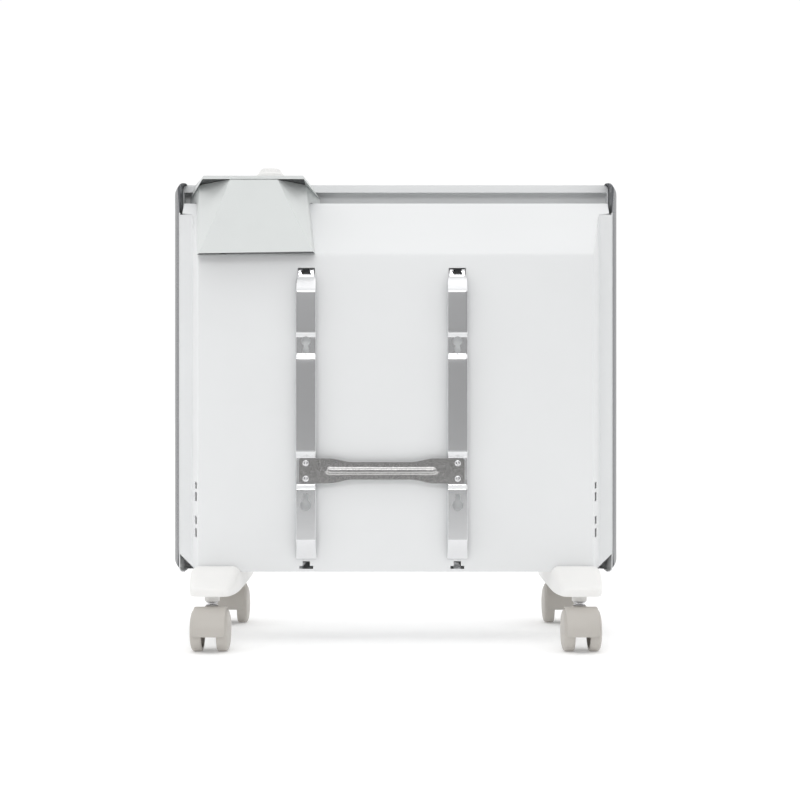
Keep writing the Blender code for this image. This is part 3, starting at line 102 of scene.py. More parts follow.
def make_piece(name, points, faces, body, finish, outward=None, sharp=32.0):
    """A mesh object from points and faces, with meeting points joined. A closed piece turns its faces
    out by itself. An open skin needs outward, a place and a direction: the face nearest the place is
    turned to look that way, and the others with it."""
    mesh = bpy.data.meshes.new(name)
    mesh.from_pydata(np.asarray(points).reshape(-1, 3).tolist(), [], [list(f) for f in faces])
    work = bmesh.new()
    work.from_mesh(mesh)
    bmesh.ops.remove_doubles(work, verts=work.verts, dist=2e-6)
    bmesh.ops.dissolve_degenerate(work, edges=work.edges, dist=1e-7)
    bmesh.ops.recalc_face_normals(work, faces=work.faces)
    if outward is not None:
        place, direction = (np.array(item, float) for item in outward)
        centres = np.array([face.calc_center_median() for face in work.faces])
        nearest = int(((centres - place) ** 2).sum(1).argmin())
        work.faces.ensure_lookup_table()
        if np.dot(np.array(work.faces[nearest].normal), direction) < 0:
            bmesh.ops.reverse_faces(work, faces=work.faces)
    work.to_mesh(mesh)
    work.free()
    mesh.shade_smooth()
    mesh.set_sharp_from_angle(angle=np.radians(sharp))
    uses = np.bincount([loop.edge_index for loop in mesh.loops], minlength=len(mesh.edges))
    for edge in np.nonzero(uses == 1)[0]:
        mesh.edges[int(edge)].use_edge_sharp = True
    mesh.materials.append(finish)
    made = bpy.data.objects.new(name, mesh)
    bpy.context.scene.collection.objects.link(made)
    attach(made, body)
    return made


def give_thickness(piece, thickness):
    """Turns a skin into sheet: a second skin the given distance behind the first, closed round its edges."""
    wall = piece.modifiers.new("sheet", "SOLIDIFY")
    wall.thickness = thickness
    wall.offset = -1


def bend(before, corner, after, reach, steps):
    """Points round a fold: the curve (1-t)^2 P + 2t(1-t) C + t^2 Q, from P on one side to Q on the
    other, each a reach away from the corner C. Rows of corners are worked out together."""
    before, corner, after = (np.asarray(item, float) for item in (before, corner, after))
    start_way = before - corner
    end_way = after - corner
    start_long = np.linalg.norm(start_way, axis=-1, keepdims=True)
    end_long = np.linalg.norm(end_way, axis=-1, keepdims=True)
    reach = np.minimum(np.minimum(reach, 0.42 * start_long), 0.42 * end_long)
    start = corner + start_way * reach / np.maximum(start_long, 1e-9)
    end = corner + end_way * reach / np.maximum(end_long, 1e-9)
    t = np.linspace(0, 1, steps)[:, None]
    shape = (1 - t) ** 2, 2 * t * (1 - t), t**2
    return shape[0] * start[..., None, :] + shape[1] * corner[..., None, :] + shape[2] * end[..., None, :]


def grained(
    name, colour, roughness, grain=1500, depth=0.1, cloudy=0.06, clouds=(35, 4), detail=3, spread=0.06
):
    """A baked powder or moulded plastic finish: an even colour with faint clouding, and a fine grain of
    orange peel or etched mould that breaks up the sheen. The default numbers are a moulding's."""
    finish = bpy.data.materials.new(name)
    finish.use_nodes = True
    nodes, links = finish.node_tree.nodes, finish.node_tree.links
    shader = nodes["Principled BSDF"]
    place = nodes.new("ShaderNodeTexCoord")
    cloud = nodes.new("ShaderNodeTexNoise")
    cloud.inputs["Scale"].default_value = clouds[0]
    cloud.inputs["Detail"].default_value = clouds[1]
    tint = nodes.new("ShaderNodeValToRGB")
    tint.color_ramp.elements[0].position = 0.3
    tint.color_ramp.elements[0].color = (*[c * (1 - cloudy) for c in colour], 1)
    tint.color_ramp.elements[1].position = 0.7
    tint.color_ramp.elements[1].color = (*colour, 1)
    fine_noise = nodes.new("ShaderNodeTexNoise")
    fine_noise.inputs["Scale"].default_value = grain
    fine_noise.inputs["Detail"].default_value = detail
    gloss = nodes.new("ShaderNodeMapRange")
    gloss.inputs["To Min"].default_value = roughness - spread
    gloss.inputs["To Max"].default_value = roughness + spread
    bump = nodes.new("ShaderNodeBump")
    bump.inputs["Strength"].default_value = depth
    bump.inputs["Distance"].default_value = 0.0002
    links.new(place.outputs["Object"], cloud.inputs["Vector"])
    links.new(place.outputs["Object"], fine_noise.inputs["Vector"])
    links.new(cloud.outputs["Fac"], tint.inputs["Fac"])
    links.new(tint.outputs["Color"], shader.inputs["Base Color"])
    links.new(fine_noise.outputs["Fac"], gloss.inputs["Value"])
    links.new(gloss.outputs["Result"], shader.inputs["Roughness"])
    links.new(fine_noise.outputs["Fac"], bump.inputs["Height"])
    links.new(bump.outputs["Normal"], shader.inputs["Normal"])
    return finish


white_coat = grained(
    "white powder coat", (0.80, 0.81, 0.815), 0.46, grain=850, depth=0.12, cloudy=0.025, clouds=(9, 3),
    detail=2, spread=0.05
)


def inside_any(places, boxes):
    """True where a pair of values lies inside any of the boxes (low a, high a, low b, high b)."""
    a, b = places[..., 0], places[..., 1]
    hit = np.zeros(a.shape, bool)
    for a0, a1, b0, b1 in boxes:
        hit |= (a > a0) & (a < a1) & (b > b0) & (b < b1)
    return hit


hook_top = crease_z - 0.0138
hook_bottom = hook_top - 0.006
tee_low = casing_bottom + 0.0028
# Half width, bottom and top of the hook's slot and of the two bars of the slot shaped like a tee.
slot_shapes = (
    (0.0084, hook_bottom, hook_top),
    (0.0068, tee_low, tee_low + 0.003),
    (0.0036, tee_low + 0.0029, tee_low + 0.0076),
)
back_slots = [
    (centre - wide, centre + wide, low, high) for centre in bracket_places for wide, low, high in slot_shapes
]
# The side slots: how high each starts and how tall it is, and the shares of the side it runs between.
vents = [(casing_bottom + rise, casing_bottom + rise + tall) for rise, tall in
         ((0.0330, 0.0090), (0.0460, 0.0080), (0.0690, 0.0090), (0.0815, 0.0065))]
vent_ends = (0.13, 0.49)

# Heights of the rows: up the back, round the crease, up the slope, and forward along the shelf.
heights = np.unique(np.round(np.concatenate([
    np.linspace(casing_bottom, crease_z - 0.003, 14),
    [edge for slot in back_slots for edge in slot[2:]],
    [edge for vent in vents for edge in vent],
]), 6))
top_y = back_y - (casing_top - crease_z) * slope_run / slope_rise
crease = bend((back_y, casing_bottom), (back_y, crease_z), (top_y, casing_top), 0.0026, 7)
fold = bend((back_y, crease_z), (top_y, casing_top), (shelf_front, casing_top), 0.0015, 5)
slope_z = np.linspace(crease[-1, 1], cheek_top, 8)[1:]
slope_z = np.concatenate([slope_z, [cheek_top + wing_step], np.linspace(cheek_top + 0.004, fold[0, 1], 3)])
profile = np.concatenate([
    np.stack([np.full(heights.size, back_y), heights], -1)[:-1],
    crease,
    np.stack([back_y - (slope_z - crease_z) * slope_run / slope_rise, slope_z], -1)[:-1],
    fold,
    [(-0.020, casing_top), (shelf_front, casing_top)],
])
profile = profile[np.concatenate([[True], np.abs(np.diff(profile, axis=0)).sum(1) > 1e-6])]
row_y, row_z = profile[:, 0], profile[:, 1]
half = np.interp(row_z, [crease_z, cheek_top, cheek_top + wing_step], [back_half, cheek_half, wing_half])

# The steep sides: a fold, the side, a second fold and the flange, for each row up to the cheek's top.
walled = row_z <= cheek_top + 1e-6
corner = np.stack([half, row_y, row_z], -1)[walled]
rows = len(corner)
foot_corner = np.stack([np.full(rows, cheek_half), np.full(rows, cheek_y), corner[:, 2]], -1)
share = (corner[:, 2] - casing_bottom) / (cheek_top - casing_bottom)
flange_z = casing_bottom + flange_start + share * (cheek_top - 0.0004 - casing_bottom - flange_start)
flange_end = np.stack([np.full(rows, cheek_edge), np.full(rows, cheek_y), flange_z], -1)
middle_of_back = corner * [0, 1, 1]
first = bend(middle_of_back, corner, foot_corner, 0.0028, 6)
second = bend(corner, foot_corner, flange_end, 0.0022, 5)
side_y = np.linspace(1, 0, 7)[1:-1]
fractions = np.sort(np.concatenate([side_y, vent_ends]))
between = corner[:, None] + fractions[None, :, None] * (foot_corner - corner)[:, None]
side_points = np.concatenate([first, between, second, flange_end[:, None]], 1)
edge_x = np.where(walled, 0, half)
edge_x[walled] = first[:, 0, 0]
columns = np.unique(np.round(np.concatenate([
    np.linspace(-1, 1, 25) * edge_x[0],
    [edge for slot in back_slots for edge in slot[:2]],
]), 6))
back_points = np.stack(np.broadcast_arrays(
    columns[None, :] * (edge_x / edge_x[0])[:, None], row_y[:, None], row_z[:, None]
), -1)
back_quads = grid_quads(len(row_z), columns.size)
middles = back_points.reshape(-1, 3)[back_quads].mean(1)
plug_hole = (0.131, 0.161, crease_z + 0.009, cheek_top - 0.012)
holes = inside_any(middles[:, [0, 2]], back_slots + [plug_hole]) & (middles[:, 1] > -0.005)
side_quads = grid_quads(rows, side_points.shape[1])
side_middles = side_points.reshape(-1, 3)[side_quads].mean(1)
along = (corner[0, 1] - side_middles[:, 1]) / (back_y - cheek_y)
vented = inside_any(np.stack([along, side_middles[:, 2]], -1), [(*vent_ends, *vent) for vent in vents])
side_quads = side_quads[~(vented & (side_middles[:, 0] < cheek_half))]
all_points = np.concatenate([
    back_points.reshape(-1, 3),
    side_points.reshape(-1, 3),
    side_points.reshape(-1, 3) * [-1, 1, 1],
])
count = back_points[..., 0].size
all_quads = np.concatenate([
    back_quads[~holes], side_quads + count, side_quads + count + side_points[..., 0].size,
])
casing = make_piece(
    "casing_sheet", all_points, all_quads, "heater", white_coat, ((0, back_y, 0.2), (0, 1, 0)), 25
)
give_thickness(casing, sheet)
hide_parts("rear_casing")


def dress(node, finish):
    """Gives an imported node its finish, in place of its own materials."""
    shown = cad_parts[node]
    shown.data.materials.clear()
    shown.data.materials.append(finish)
    return shown


def ease_edges(node, name, width, body, finish, steps=2, angle=25, joins=1e-5):
    """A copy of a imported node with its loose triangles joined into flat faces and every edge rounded."""
    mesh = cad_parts[node].data.copy()
    work = bmesh.new()
    work.from_mesh(mesh)
    bmesh.ops.remove_doubles(work, verts=work.verts, dist=joins)
    bmesh.ops.dissolve_limit(work, angle_limit=np.radians(0.5), verts=work.verts, edges=work.edges)
    work.to_mesh(mesh)
    work.free()
    mesh.materials.clear()
    mesh.materials.append(finish)
    mesh.shade_smooth()
    mesh.set_sharp_from_angle(angle=np.radians(30))
    made = bpy.data.objects.new(name, mesh)
    bpy.context.scene.collection.objects.link(made)
    round_off = made.modifiers.new("rounded edges", "BEVEL")
    round_off.width = width
    round_off.segments = steps
    round_off.limit_method = "ANGLE"
    round_off.angle_limit = np.radians(angle)
    round_off.harden_normals = False
    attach(made, body)
    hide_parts(node)
    return made


# INLET GRILLE. A slotted steel plate closes the casing's underside and lets cold air in. It is spot
# welded to the casing, and the feet are screwed to it.

dress("inlet_grille", white_coat)


# FRONT PANEL. One large sheet, powder coated like the casing, with its edges folded back and a lip
# folded down behind its top edge.

ease_edges("front_panel", "panel_sheet", 0.0004, "heater", white_coat)


# OUTLET GRILLE. A dark moulded frame with slanting vanes, clipped into the panel from behind.

trim_grey = grained("dark grey trim", (0.115, 0.12, 0.13), 0.28)
ease_edges("outlet_grille", "outlet_vanes", 0.0003, "heater", trim_grey)


# SIDE TRIMS. A dark moulding covers each end of the panel. Its outline turns the corners on a larger
# radius than the panel does, so it runs out to a point above and below. It is widest near the front
# and curves in towards the back.

trim_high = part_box("side_trim_left")[1]
panel_low, panel_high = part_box("front_panel")
front_y = panel_low[1]
panel_half = panel_high[0]
trim_corner = 0.0115
panel_corner = 0.0048
trim_gap = 0.0003
taper_start = 0.012
taper_long = 0.024
taper_in = 0.0075
taper_power = 1.5
edge_deep = 0.005
edge_in = 0.003


def corner_pair(turn):
    """Outer and inner points of the trim at an angle about its top corner: on the big circle, and on
    the panel's outline, which is a small circle that runs into a straight side."""
    big = np.array([trim_high[0] - trim_corner, panel_high[2] - trim_corner])
    small = np.array([panel_half + trim_gap - panel_corner, panel_high[2] + trim_gap - panel_corner])
    way = np.stack([np.cos(turn), np.sin(turn)], -1)
    outer = big + trim_corner * way
    inner = small + panel_corner * way
    return outer, inner


turn = np.radians(np.linspace(86, 0, 23))
top_outer, top_inner = corner_pair(turn)
mid_z = (panel_low[2] + panel_high[2]) / 2
bottom_outer = top_outer[::-1] * [1, -1] + [0, 2 * mid_z]
bottom_inner = top_inner[::-1] * [1, -1] + [0, 2 * mid_z]
side_z = np.linspace(top_outer[-1, 1], bottom_outer[0, 1], 22)[1:-1]
straight_outer = np.column_stack([np.full(side_z.size, trim_high[0]), side_z])
straight_inner = np.column_stack([np.full(side_z.size, panel_half + trim_gap), side_z])
outer_line = np.concatenate([top_outer, straight_outer, bottom_outer])
inner_line = np.concatenate([top_inner, straight_inner, bottom_inner])
behind = np.array([
    0, 0.0005, 0.0015, 0.003, 0.005, 0.0085, 0.012, 0.015, 0.018, 0.021, 0.024, 0.027, 0.030, 0.033, 0.036,
])
# How far the outer face is set in at each distance behind the front: rounded over the front edge on a
# 5 mm circle flattened to 3 mm, then straight, then curving in by 7.5 mm towards the back.
inset = (
    edge_in * (1 - np.sqrt(1 - np.clip(1 - behind / edge_deep, 0, 1) ** 2))
    + taper_in * np.clip((behind - taper_start) / taper_long, 0, 1) ** taper_power
)
full_width = np.hypot(*(outer_line - inner_line).T)
# Where the outline is narrower than the taper, the two meet early and the moulding ends there.
deepest = taper_start + taper_long * np.clip(full_width / taper_in, 0, 1) ** (1 / taper_power)
back_at = np.minimum(behind[None], deepest[:, None])
wide_at = np.clip(full_width[:, None] - inset[None], 0, None) * (behind[None] <= deepest[:, None] + 1e-9)
on_the_panel = np.zeros((len(full_width), 1))
share = np.concatenate([on_the_panel, wide_at / full_width[:, None], on_the_panel], 1)
back_at = np.concatenate([back_at[:, :1], back_at, deepest[:, None]], 1)
stations, around = share.shape
caps = [list(range(around)), list(range((stations - 1) * around, stations * around))]
for side_name, side in (("left", 1), ("right", -1)):
    spots = inner_line[:, None] + (outer_line - inner_line)[:, None] * share[..., None]
    spots = np.stack([side * spots[..., 0], front_y + back_at, spots[..., 1]], -1)
    moulding = make_piece(
        f"end_moulding_{side_name}", spots, grid_quads(stations, around, round_columns=True).tolist() + caps,
        "heater", trim_grey, sharp=50
    )
    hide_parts(f"side_trim_{side_name}")


# HEATING PARTS. A cast aluminium element with tall fins stands in ceramic rings on two galvanised
# brackets, in front of a thin shield that keeps its heat off the back.

def galvanised(name, colour, roughness, cell=140.0, streak=(1, 1, 0.02), contrast=0.25):
    """Zinc, bright plate or cast metal: crystals about 1/cell metres across that each catch the light a
    little differently, with fine marks drawn out along any axis whose streak is small."""
    finish = bpy.data.materials.new(name)
    finish.use_nodes = True
    nodes, links = finish.node_tree.nodes, finish.node_tree.links
    shader = nodes["Principled BSDF"]
    shader.inputs["Metallic"].default_value = 1.0
    place = nodes.new("ShaderNodeTexCoord")
    crystals = nodes.new("ShaderNodeTexVoronoi")
    crystals.inputs["Scale"].default_value = cell
    crystals.inputs["Randomness"].default_value = 1.0
    draw = nodes.new("ShaderNodeMapping")
    draw.inputs["Scale"].default_value = streak
    rolled = nodes.new("ShaderNodeTexNoise")
    rolled.inputs["Scale"].default_value = 2600
    rolled.inputs["Detail"].default_value = 4
    pick = nodes.new("ShaderNodeSeparateColor")
    mixed = nodes.new("ShaderNodeMix")
    mixed.data_type = "FLOAT"
    mixed.inputs["Factor"].default_value = 0.5
    shade = nodes.new("ShaderNodeValToRGB")
    shade.color_ramp.elements[0].position = 0.25
    shade.color_ramp.elements[0].color = (*[c * (1 - contrast) for c in colour], 1)
    shade.color_ramp.elements[1].position = 0.75
    shade.color_ramp.elements[1].color = (*colour, 1)
    gloss = nodes.new("ShaderNodeMapRange")
    gloss.inputs["To Min"].default_value = roughness - 0.12 * contrast
    gloss.inputs["To Max"].default_value = roughness + 0.12 * contrast
    bump = nodes.new("ShaderNodeBump")
    bump.inputs["Strength"].default_value = 0.015
    bump.inputs["Distance"].default_value = 0.0001
    links.new(place.outputs["Object"], crystals.inputs["Vector"])
    links.new(place.outputs["Object"], draw.inputs["Vector"])
    links.new(draw.outputs["Vector"], rolled.inputs["Vector"])
    links.new(crystals.outputs["Color"], pick.inputs["Color"])
    links.new(pick.outputs["Red"], mixed.inputs["A"])
    links.new(rolled.outputs["Fac"], mixed.inputs["B"])
    links.new(mixed.outputs["Result"], shade.inputs["Fac"])
    links.new(shade.outputs["Color"], shader.inputs["Base Color"])
    links.new(pick.outputs["Green"], gloss.inputs["Value"])
    links.new(gloss.outputs["Result"], shader.inputs["Roughness"])
    links.new(rolled.outputs["Fac"], bump.inputs["Height"])
    links.new(bump.outputs["Normal"], shader.inputs["Normal"])
    return finish


element_cast = galvanised("cast aluminium", (0.62, 0.63, 0.64), 0.42, cell=420.0, streak=(1, 1, 1))
plain_zinc = galvanised("galvanised sheet", (0.60, 0.61, 0.63), 0.36)
glazed = grained("fired ceramic", (0.82, 0.79, 0.72), 0.5, grain=900, depth=0.2)
dress("heating_element", element_cast)
for side_name in ("left", "right"):
    dress(f"element_support_{side_name}", plain_zinc)
    dress(f"element_insulator_{side_name}", glazed)
dress("heat_shield", plain_zinc)


# SAFETY PARTS AND SOCKET. Black phenolic cases: the overheat cutout, the tilt switch on the bottom
# plate, the socket behind the slope with the control unit's plug in it, and the thermostat's body.

black_case = grained("black phenolic", (0.025, 0.025, 0.027), 0.42, grain=1100)
for node in ("overheat_cutout", "tilt_switch", "casing_socket", "control_plug", "thermostat_body"):
    dress(node, black_case)


# WALL BRACKET UPRIGHTS. Two pressed strips of galvanised steel with their long edges folded back. At
# the top a narrow tongue splits into two prongs that hook through a slot in the casing, and at the
# bottom the strip bends back to the casing. Keyholes take the screws of a wall.

def pierced(rows, columns, outlines):
    """Triangles over a rectangle of grid points that leave out closed outlines: grid points within or
    close to an outline go, the outline's own points come in, and Delaunay triangles join them all."""
    grid = np.stack(np.meshgrid(rows, columns, indexing="ij"), -1).reshape(-1, 2)
    keep = np.ones(len(grid), bool)
    for outline in outlines:
        keep &= ~within(grid, outline, 0.3)
    points = [grid[keep]]
    edges = []
    start = int(keep.sum())
    for outline in outlines:
        size = len(outline)
        ring = np.arange(size)
        edges += np.stack([ring + start, (ring + 1) % size + start], -1).tolist()
        points.append(outline)
        start += size
    points = np.concatenate(points)
    found = geometry.delaunay_2d_cdt(points.tolist(), edges, [], 0, 1e-6)
    points = np.array([list(p) for p in found[0]])
    faces = np.array(found[2])
    centres = points[faces].mean(1)
    kept = np.ones(len(faces), bool)
    for outline in outlines:
        kept &= ~within(centres, outline, 0.0)
    return points, faces[kept]


def within(points, outline, margin):
    """True for points inside a closed outline by the crossing rule, or nearer to one of its corners than
    the margin."""
    x, y = points[:, 0][:, None], points[:, 1][:, None]
    x0, y0 = outline[:, 0][None], outline[:, 1][None]
    x1, y1 = np.roll(outline[:, 0], -1)[None], np.roll(outline[:, 1], -1)[None]
    spans = (y0 > y) != (y1 > y)
    at = (x1 - x0) * (y - y0) / np.where(y1 == y0, 1e-12, y1 - y0) + x0
    inside = ((spans & (x < at)).sum(1) % 2) == 1
    near = np.hypot(x - x0, y - y0).min(1) < margin if margin > 0 else np.zeros(len(points), bool)
    return inside | near


upright_steel = galvanised(
    "rolled zinc strip", (0.74, 0.745, 0.755), 0.25, cell=1300, streak=(1, 1, 0.03), contrast=0.05
)
upright_sheet = 0.0011
upper_key = crease_z - 0.0865
lower_key = casing_bottom + 0.0665
brace_z = casing_bottom + 0.1002
strip_end = casing_bottom + 0.0104

# Height, distance from the back, half width and depth of the folded edges, from the hook downwards.
strip = np.array([
    (hook_bottom + 0.0050, -0.0028, 0.0076, 0.0000),
    (hook_bottom + 0.0044, 0.0016, 0.0076, 0.0000),
    (hook_bottom - 0.0024, 0.0030, 0.0077, 0.0000),
    (hook_bottom - 0.0042, 0.0036, 0.0092, 0.0004),
    (hook_bottom - 0.0080, 0.0056, 0.0100, 0.0018),
    (hook_bottom - 0.0172, 0.0104, 0.0100, 0.0040),
    (hook_bottom - 0.0190, 0.0105, 0.0100, 0.0045),
    (upper_key + 0.0078, 0.0105, 0.0100, 0.0045),
    (upper_key + 0.0046, 0.0078, 0.0100, 0.0030),
    (upper_key - 0.0128, 0.0078, 0.0100, 0.0030),
    (upper_key - 0.0170, 0.0105, 0.0100, 0.0045),
    (brace_z + 0.0182, 0.0105, 0.0100, 0.0045),
    (brace_z + 0.0136, 0.0078, 0.0100, 0.0030),
    (brace_z - 0.0136, 0.0078, 0.0100, 0.0030),
    (brace_z - 0.0182, 0.0105, 0.0100, 0.0045),
    (strip_end + 0.0215, 0.0105, 0.0100, 0.0045),
    (strip_end + 0.0170, 0.0092, 0.0100, 0.0036),
    (strip_end + 0.0025, 0.0018, 0.0104, 0.0006),
])
step_long = np.concatenate([[0], np.cumsum(np.hypot(np.diff(strip[:, 0]), np.diff(strip[:, 1])))])
fine = np.arange(0, step_long[-1], 0.00025)
fine_rows = np.stack([np.interp(fine, step_long, column) for column in strip.T], -1)
softened = np.stack([
    np.convolve(np.pad(column, 3, mode="edge"), np.ones(7) / 7, "valid") for column in fine_rows.T
], -1)
bends_near = np.abs(np.gradient(np.gradient(softened[:, 1]))) > 2e-8
strip_rows = np.unique(np.concatenate([
    np.arange(0, len(fine), 24), np.nonzero(bends_near)[0][::3], [len(fine) - 1],
]))


fold_radius = 0.0011
flat_half = 0.0089


def strip_surface(t, v, centre, flare=0.20):
    """A point of the strip at length t and across at v. For |v| up to 1 it is the flat face, x = v (w - r).
    From 1 to 2 it turns through the fold of radius r, and from 2 to 3 it runs d - r down the edge, which
    leans outwards by the angle flare."""
    z, off, wide, deep = (np.interp(t, fine, column) for column in softened.T)
    radius = np.minimum(fold_radius, np.maximum(deep, 0.0003) * 0.6)
    side = np.sign(v)
    far = np.abs(v)
    turn = np.clip(far - 1, 0, 1) * (np.pi / 2 - flare)
    down = np.clip(far - 2, 0, 1) * np.maximum(deep - radius, 0)
    flat = wide - radius
    x = np.where(far <= 1, v * flat, side * (flat + radius * np.sin(turn) + down * np.sin(flare)))
    depth = radius * (1 - np.cos(turn)) + down * np.cos(flare)
    return np.stack([centre + x, back_y + 0.0003 + off - depth, z], -1)


def keyhole(z, hang, head=0.0047, waist=0.0021, foot=0.0033, long=0.0125):
    """Outline of a screw hole in heights and half widths: a round head that narrows to a waist and
    then widens a little to the end of its slot, above the head (hang 1) or below it (hang -1)."""
    open_angle = np.arcsin(waist / head)
    turn = np.linspace(open_angle, 2 * np.pi - open_angle, 26)
    ring = np.stack([z + hang * head * np.cos(turn), head * np.sin(turn)], -1)
    end = z + hang * (long - foot)
    slot_turn = np.linspace(-np.pi / 2, np.pi / 2, 9)
    tip = np.stack([end + hang * foot * np.cos(slot_turn), foot * np.sin(slot_turn)], -1)
    return np.concatenate([ring, tip])


across = np.array([-3, -2.5, -2, -1.75, -1.5, -1.25, -1, -0.75, -0.5, -0.25, 0, 0.25, 0.5, 0.75, 1, 1.25, 1.5,
                   1.75, 2, 2.5, 3])
across_scale = 9  # half the flat face, close to the millimetres that the lengths are given in
notch_low = hook_bottom - 0.0006
notch_half = 0.0046


def length_at(z):
    """Length along the strip at a height."""
    return np.interp(-z, -softened[:, 0], fine)


for side_name, centre in zip(("left", "right"), bracket_places):
    outlines = []
    for hole in (keyhole(upper_key, -1), keyhole(lower_key, 1, 0.0054, 0.0024, 0.0026, 0.0115)):
        outlines.append(np.stack([length_at(hole[:, 0]) * 1000, hole[:, 1] / flat_half * across_scale], -1))
    points, faces = pierced(fine[strip_rows] * 1000, across * across_scale, outlines)
    spots = strip_surface(points[:, 0] / 1000, points[:, 1] / across_scale, centre)
    centres = spots[faces].mean(1)
    notch = (centres[:, 2] > notch_low) & (np.abs(centres[:, 0] - centre) < notch_half)
    upright = make_piece(
        f"bracket_strip_{side_name}", spots, faces[~notch], "heater", upright_steel,
        ((centre, back_y + 0.0105, 0.245), (0, 1, 0)), 40
    )
    give_thickness(upright, upright_sheet)
    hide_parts(f"bracket_upright_{side_name}")


# BRACKET BRACE. A cross strip of spangled steel in the uprights' recesses. Its ends are plates with two
# screws each, its middle is stepped back and waisted, and a long bead is pressed out along it.

brace_low, brace_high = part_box("bracket_brace")
brace_middle = (brace_low[0] + brace_high[0]) / 2
brace_reach = (brace_high[0] - brace_low[0]) / 2
brace_out = back_y + 0.0098
brace_sheet = 0.0013
dark_zinc = galvanised("spangled sheet", (0.54, 0.535, 0.53), 0.22, cell=1000, streak=(0.2, 1, 1))


def ease(value, low, high):
    """0 below low, 1 above high, and 3s^2 - 2s^3 between them."""
    s = np.clip((value - low) / (high - low), 0, 1)
    return s * s * (3 - 2 * s)


def brace_half_height(x):
    """Half the strip's height: 12.3 mm at the ends, easing to 8.6 mm along the waist."""
    return 0.0123 - 0.0037 * (1 - ease(np.abs(x), 0.028, 0.053))


def brace_surface(x, s):
    """A point of the brace at length x and share s of its height. The middle lies 1.6 mm further back,
    past a step at 61 mm, and the bead stands 2.2 mm out as a rounded ridge round a centre line."""
    height = s * brace_half_height(x)
    middle_part = 1 - ease(np.abs(x), 0.0604, 0.0614)
    along = np.maximum(np.abs(x) - 0.0512, 0)
    reach = np.hypot(along, height)
    ridge = 0.0022 * (1 - ease(reach, 0.0011, 0.0037))
    y = brace_out - 0.0016 * middle_part + ridge
    return np.stack([brace_middle + x, y, brace_z + height], -1)


step_x = np.linspace(0.0602, 0.0616, 8)
brace_x = np.unique(np.concatenate([np.linspace(-brace_reach, brace_reach, 120), step_x, -step_x]))
brace_s = np.linspace(-1, 1, 41)
grid_x, grid_s = np.meshgrid(brace_x, brace_s, indexing="ij")
spots = brace_surface(grid_x, grid_s)
corner_cut = 0.0016
in_corner = np.maximum(np.abs(grid_x) - (brace_reach - corner_cut), 0)
inset = corner_cut - np.sqrt(np.maximum(corner_cut**2 - in_corner**2, 0))
spots[..., 2] -= np.sign(grid_s) * inset * np.abs(grid_s) ** 6
brace = make_piece(
    "brace_strip", spots, grid_quads(brace_x.size, brace_s.size), "heater", dark_zinc,
    ((brace_middle + 0.075, brace_out, brace_z), (0, 1, 0)), 40
)
give_thickness(brace, brace_sheet)
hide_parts("bracket_brace")


# BRACE SCREWS. Zinc plated pan heads with a cross recess, two in each end of the brace.

bright_steel = galvanised(
    "bright plated steel", (0.72, 0.72, 0.73), 0.22, cell=900, streak=(1, 1, 1), contrast=0.08
)


def pan_head(radius, rise):
    """A grid over a screw head: height h = rise (1 - 0.65 (r/R)^4), less a cross whose arms are about a
    quarter of R wide, fade out between 0.48 R and 0.64 R, and sink towards the middle."""
    share = np.concatenate([[0.0], np.linspace(0.05, 1, 22)])
    turn = np.linspace(0, 2 * np.pi, 73)[:-1]
    r, a = np.meshgrid(share, turn, indexing="ij")
    u, w = r * np.cos(a), r * np.sin(a)
    dome = 0.35 + 0.65 * (1 - r**4)
    arm = np.minimum(np.abs(u), np.abs(w))
    arm_end = 1 - ease(r, 0.48, 0.64)
    sink = (1 - ease(arm, 0.09, 0.17)) * arm_end * (0.95 - 0.5 * r)
    height = rise * (dome - 0.75 * sink)
    return u * radius, w * radius, height


head_u, head_w, head_h = pan_head(0.0033, 0.0022)
screw_rise = 0.0076
shank_share = 0.45
shank_long = 0.0055
for side_name, centre in zip(("left", "right"), bracket_places):
    for level, rise in (("upper", screw_rise), ("lower", -screw_rise)):
        face_y = brace_out + 0.00005
        top = np.stack([centre + head_u, face_y + head_h, brace_z + rise + head_w], -1)
        skirt = top[-1:].copy()
        skirt[..., 1] = face_y
        shank = skirt.copy()
        shank[..., 0] = centre + (shank[..., 0] - centre) * shank_share
        shank[..., 2] = brace_z + rise + (shank[..., 2] - brace_z - rise) * shank_share
        tip = shank.copy()
        tip[..., 1] = face_y - shank_long
        end = tip * [0, 1, 0] + [centre, 0, brace_z + rise]
        spots = np.concatenate([top, skirt, shank, tip, end])
        screw = make_piece(
            f"pan_screw_{side_name}_{level}", spots, grid_quads(len(spots), top.shape[1], True), "heater",
            bright_steel, sharp=35
        )
        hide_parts(f"brace_screw_{side_name}_{level}")


# CONTROL UNIT. A moulded housing of flat facets clips over the crease, and a lid closes it. The
# plastic is a slightly greener white than the casing, with a fine mould grain.

unit_plastic = grained("unit plastic", (0.69, 0.713, 0.706), 0.42, grain=1300, depth=0.12, cloudy=0.02)
# Faces that look straight down are coloured dark, so that the gap under the lid and the lower edge
# read as dark lines. This stands for deep shadow, and no dark piece is meant.
under = unit_plastic.node_tree.nodes
under_links = unit_plastic.node_tree.links
facing = under.new("ShaderNodeNewGeometry")
split = under.new("ShaderNodeSeparateXYZ")
below = under.new("ShaderNodeMapRange")
below.inputs["From Min"].default_value = -0.90
below.inputs["From Max"].default_value = -0.97
shadowed = under.new("ShaderNodeMix")
shadowed.data_type = "RGBA"
shadowed.inputs["B"].default_value = (0.045, 0.047, 0.05, 1)
colour_link = under["Principled BSDF"].inputs["Base Color"].links[0]
under_links.new(colour_link.from_socket, shadowed.inputs["A"])
under_links.new(facing.outputs["True Normal"], split.inputs["Vector"])
under_links.new(split.outputs["Z"], below.inputs["Value"])
under_links.new(below.outputs["Result"], shadowed.inputs["Factor"])
under_links.new(shadowed.outputs["Result"], under["Principled BSDF"].inputs["Base Color"])
